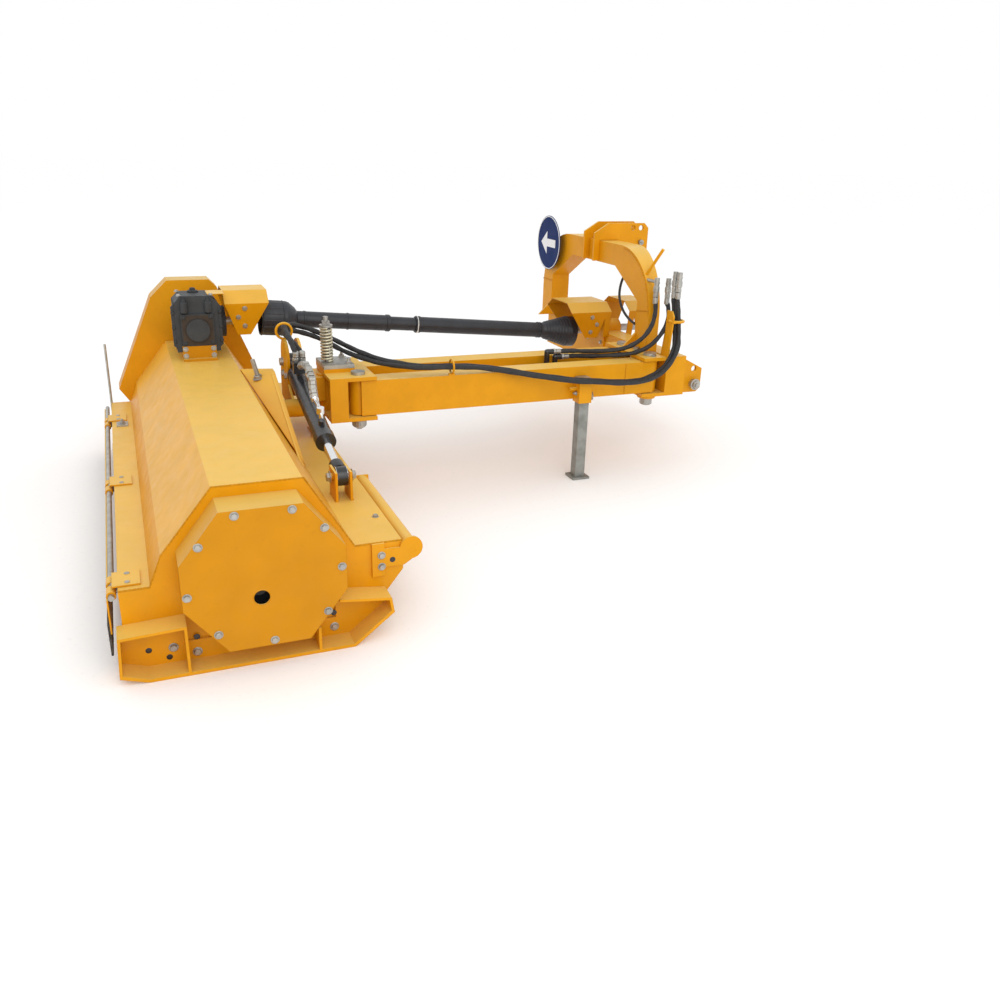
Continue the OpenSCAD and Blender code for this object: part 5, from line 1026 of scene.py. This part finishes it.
# %% gearbox rims and breather
GEAR_FACE = -1518
CAP = [(0, 44), (1.2, 44), (1.6, 40)]
RIM_SIDES, RIM_T, RIM_H = (-85, 82), 3, 8
RIMS = ((-1826, -1534, 548), (-1676, -1534, 732), (-1826, -1684, 670))
BREATHER, BREATHER_X = [(0, 22), (6, 22), (8, 18), (8, 12), (16, 11), (18, 8)], -1640
case = Shape()
case.lathe((GEAR_FACE, 0, GEAR_Z), OUT, CAP, 40)
for y in RIM_SIDES:
    for x0, x1, z in RIMS:
        case.box((x0, y, z), (x1, y + RIM_T, z + RIM_H))
case.lathe((BREATHER_X, 0, GEAR_TOP), UP, BREATHER, 32)
print("gearbox so far", len(case.corners), "corners")

# %% gearbox bosses and flanges
FACE_BOLTS_Y, FACE_BOLTS_Z = (-52, 52), (578, 682)
LIFT_BOSS, LIFT_H, LIFT_BOLT = [(0, 13), (4, 15), (40, 15), (44, 11)], 44, (9, 8)
LIFT_X, LIFT_Y, LIFT_Z = -1523, (-46, 46), 700
FLANGE_X, FLANGE_T, FLANGE_BOLT_Y, FLANGE_BOLT = -1546, 14, 91, (6, 5)
FLANGE_OUTLINE = ((84, 556), (97, 566), (97, 722), (84, 738))
FLANGE_BOLTS_Z = (584, 640, 700)
for y in FACE_BOLTS_Y:
    for z in FACE_BOLTS_Z:
        bolt(case, (GEAR_FACE, y, z), OUT, CASE_BOLT)
for y in LIFT_Y:
    case.lathe((LIFT_X, y, LIFT_Z), UP, LIFT_BOSS, 24)
    bolt(case, (LIFT_X, y, LIFT_Z + LIFT_H), UP, LIFT_BOLT, SHORT_STUD)
for side in (-1, 1):
    case.plate([(FLANGE_X, side * y, z) for y, z in FLANGE_OUTLINE], (FLANGE_T, 0, 0))
    for z in FLANGE_BOLTS_Z:
        bolt(case, (FLANGE_X + FLANGE_T, side * FLANGE_BOLT_Y, z), OUT, FLANGE_BOLT)
case.make("gearbox_trim", "head", "casting")

# %% gearbox face
FACE_HALF, FACE_X, FACE_T = 60, -1517.6, 0.8
face = Shape()
face.plate([(FACE_X, a * FACE_HALF, GEAR_Z + b * FACE_HALF) for a, b in ((-1, -1), (1, -1), (1, 1), (-1, 1))],
           (FACE_T, 0, 0))
face.make("gearbox_face", "head", "cover_brown")

# %% [markdown]
# ## Drive shaft guard, front half
# The guard is plastic tube with a ribbed rubber cone at the headstock and ring seams along it. The ribs are
# rings that follow the cone's taper. The seams are hollow collars and not discs, because the shaft runs
# through them and turns.

# %% drive shaft guard, front half
FRONT_JOINT = joint_at("pto_yaw")
SHAFT_REAR_Y = 370
AXIS = (Vector((SHAFT_X, SHAFT_REAR_Y, GEAR_Z)) - FRONT_JOINT).normalized()
CONE_R, CONE_DROP, CONE_START, CONE_LENGTH, CONE_WIRE = 73, 37.5, 65, 140, 3.2
CONE_RIBS, NECK_SEAMS, MID_SEAM = range(-56, 70, 14), (80, 92), 702
NECK_SEAM = [(0, 35.6), (1, 38), (7, 38), (8, 35.6)]
FRONT_SEAM = [(0, 35.6), (1.5, 38.5), (22, 38.5), (25, 35.6)]


def along(t):
    return FRONT_JOINT + AXIS * t


ribs = Shape()
for t in CONE_RIBS:
    torus(ribs, along(t), AXIS, CONE_R - CONE_DROP * (t + CONE_START) / CONE_LENGTH, CONE_WIRE, 48, 8)
for t in NECK_SEAMS:
    ribs.lathe(along(t), AXIS, NECK_SEAM, 40, closed=True)
ribs.lathe(along(MID_SEAM), AXIS, FRONT_SEAM, 40, closed=True)
ribs.make("front_guard_ribs", "pto_front", "plastic")

# %% [markdown]
# ## Guard tie
# A white tie is pulled round the guard's middle and its loose end hangs down. It is the one pale thing on
# the black tube, so it is a torus with a short rod and has its own finish.

# %% guard tie
TIE_AT, TIE_R, TIE_WIRE = 719, 38.6, 1.8
TAIL_FROM, TAIL_TO, TAIL_SHIFT = Vector((38, 0, 6)), Vector((41, 0, -34)), 5
tie = torus(Shape(), along(TIE_AT), AXIS, TIE_R, TIE_WIRE, 48, 8)
tie.rod(along(TIE_AT) + TAIL_FROM, along(TIE_AT + TAIL_SHIFT) + TAIL_TO, TIE_WIRE, 8)
tie.make("guard_tie", "pto_front", "white_tie")

# %% [markdown]
# ## Drive shaft guard, rear half
# The rear tube slides in the front one and ends in a bell over the gearbox's shaft. The bell has ribs along
# it and a ring at each end. They could be modelled into the bell; on their own they follow the shaft's line
# by one function.

# %% drive shaft guard, rear half
REAR_SEAMS, SLEEVE_SEAM, BELL_NECK = (1040, 1235), 850, 1278
REAR_SEAM = [(0, 35.6), (1.2, 37.6), (9, 37.6), (10.2, 35.6)]
SLEEVE = [(0, 35.6), (1.5, 38.5), (16, 38.5), (18, 35.6)]
NECK = [(0, 37), (10, 44), (24, 48), (40, 60), (46, 66)]
BELL_RIBS, BELL_RIB_R, BELL_RIB_WIRE, BELL_RIB_ENDS = 16, 73.5, 3.0, (1342, 1424)
BELL_RINGS, BELL_RING_R = (1338, 1426), 74.5
ribs = Shape()
for t in REAR_SEAMS:
    ribs.lathe(along(t), AXIS, REAR_SEAM, 40, closed=True)
ribs.lathe(along(SLEEVE_SEAM), AXIS, SLEEVE, 40, closed=True)
ribs.lathe(along(BELL_NECK), AXIS, NECK, 48, closed=True)
across, upright, _ = basis(AXIS)
for k in range(BELL_RIBS):
    a = 2 * math.pi * k / BELL_RIBS
    out = across * math.cos(a) + upright * math.sin(a)
    rib_start, rib_end = (along(t) + out * BELL_RIB_R for t in BELL_RIB_ENDS)
    ribs.rod(rib_start, rib_end, BELL_RIB_WIRE, 8)
for t in BELL_RINGS:
    torus(ribs, along(t), AXIS, BELL_RING_R, BELL_RIB_WIRE, 56, 8)
ribs.make("rear_guard_ribs", "pto_rear", "plastic")

# %% [markdown]
# ## Sign
# A round blue sign with a plain white arrow and a white rim stands on the headstock's far side. The arrow
# could be a picture on the disc; a thin plate keeps it sharp and free of files.

# %% sign
SIGN = Vector((-2170, 1866.6, 889))
ARROW = [(88, 0), (18, 58), (18, 20), (-84, 20), (-84, -20), (18, -20), (18, -58)]
ARROW_T, RIM_R, RIM_WIRE = 0.8, 133, 2.2
white = Shape().plate([SIGN + Vector((-a, 0, b)) for a, b in ARROW], (0, -ARROW_T, 0))
torus(white, SIGN, BACK, RIM_R, RIM_WIRE, 72, 8)
white.make("sign_arrow", "headstock", "sign_white")

# %% [markdown]
# ## Hose rack plate
# The hose couplings are held up by a tapered plate that stands on the beam. It has six corners, so an
# outline pushed along the machine by its thickness is all that it needs.

# %% hose rack plate
RACK_Y, RACK_T = 1941, 7
RACK = [(-1100, 510.5), (-1041, 510.5), (-1024, 690), (-1040, 712), (-1078, 712), (-1079, 640)]
rack = Shape().plate([(x, RACK_Y, z) for x, z in RACK], (0, RACK_T, 0))
rack.make("rack_plate", "headstock", "orange")

# %% [markdown]
# ## Arch cable
# A thin black cable hangs in a loose bow inside the arch, with both ends fixed to the headstock. Like the
# hoses it follows listed points, but it is smooth and moves with one body, so a plain tube will do.

# %% arch cable
CABLE_R = 6.0
CABLE = [(-1452, 1952, 852), (-1470, 1930, 790), (-1462, 1915, 740), (-1436, 1905, 701),
         (-1390, 1900, 660), (-1330, 1898, 632), (-1275, 1899, 618)]
cable = smooth_path(CABLE)
loop = tube(Shape(), cable, CABLE_R, 10).make("arch_cable", "headstock", "hose", HOSE_SHARP)
print("arch cable %.2f m" % run_length(cable))

# %% [markdown]
# ## Tilt cylinder's ends
# The rod screws into a black eye with a thick neck, the barrel's front end has a gland with a step, and its
# rear end a welded ring. Each is turned from a short profile on the cylinder's own line; the CAD has them as
# plain steps, and these round them off.

# %% tilt rod's eye
TILT_DIR = Vector((0.9765, 0, -0.2154))
EYE_NECK, NECK_BACK = [(0, 20), (2, 24), (40, 26), (46, 24)], 74
EYE_SIDE, EYE_HALF = [(0, 24), (0.6, 32.3), (34.2, 32.3), (34.8, 24)], 17.4
rod_end = Shape()
rod_end.lathe(TILT_EYE - TILT_DIR * NECK_BACK, TILT_DIR, EYE_NECK, 32)
rod_end.lathe(TILT_EYE + Vector((0, -EYE_HALF, 0)), FRONT, EYE_SIDE, 40)
rod_end.make("rod_end_collar", "tilt_rod", "black")

# %% tilt barrel's gland
GLAND, GLAND_AT = [(0, 33.2), (1.5, 35.2), (25.5, 35.2), (27, 33.5), (28, 22)], 630
BASE_RING, BASE_RING_AT = [(0, 24), (3, 34.5), (14, 34.5), (16, 33.2)], 118
gland = Shape()
gland.lathe(TILT_BASE + TILT_DIR * GLAND_AT, TILT_DIR, GLAND, 44)
gland.lathe(TILT_BASE + TILT_DIR * BASE_RING_AT, TILT_DIR, BASE_RING, 44)
gland.make("tilt_gland", "tilt_barrel", "black")

# %% [markdown]
# ## Jack cap
# The jack leg is square tube, closed at its top by a zinc plate that shows inside the sleeve. A thin box is
# the real shape here, so nothing finer is needed.

# %% jack cap
JACK_CAP = ((-1046, 1489, 446), (-994, 1541, 453.5))
Shape().box(*JACK_CAP).make("jack_cap", "jack", "zinc")

# %% [markdown]
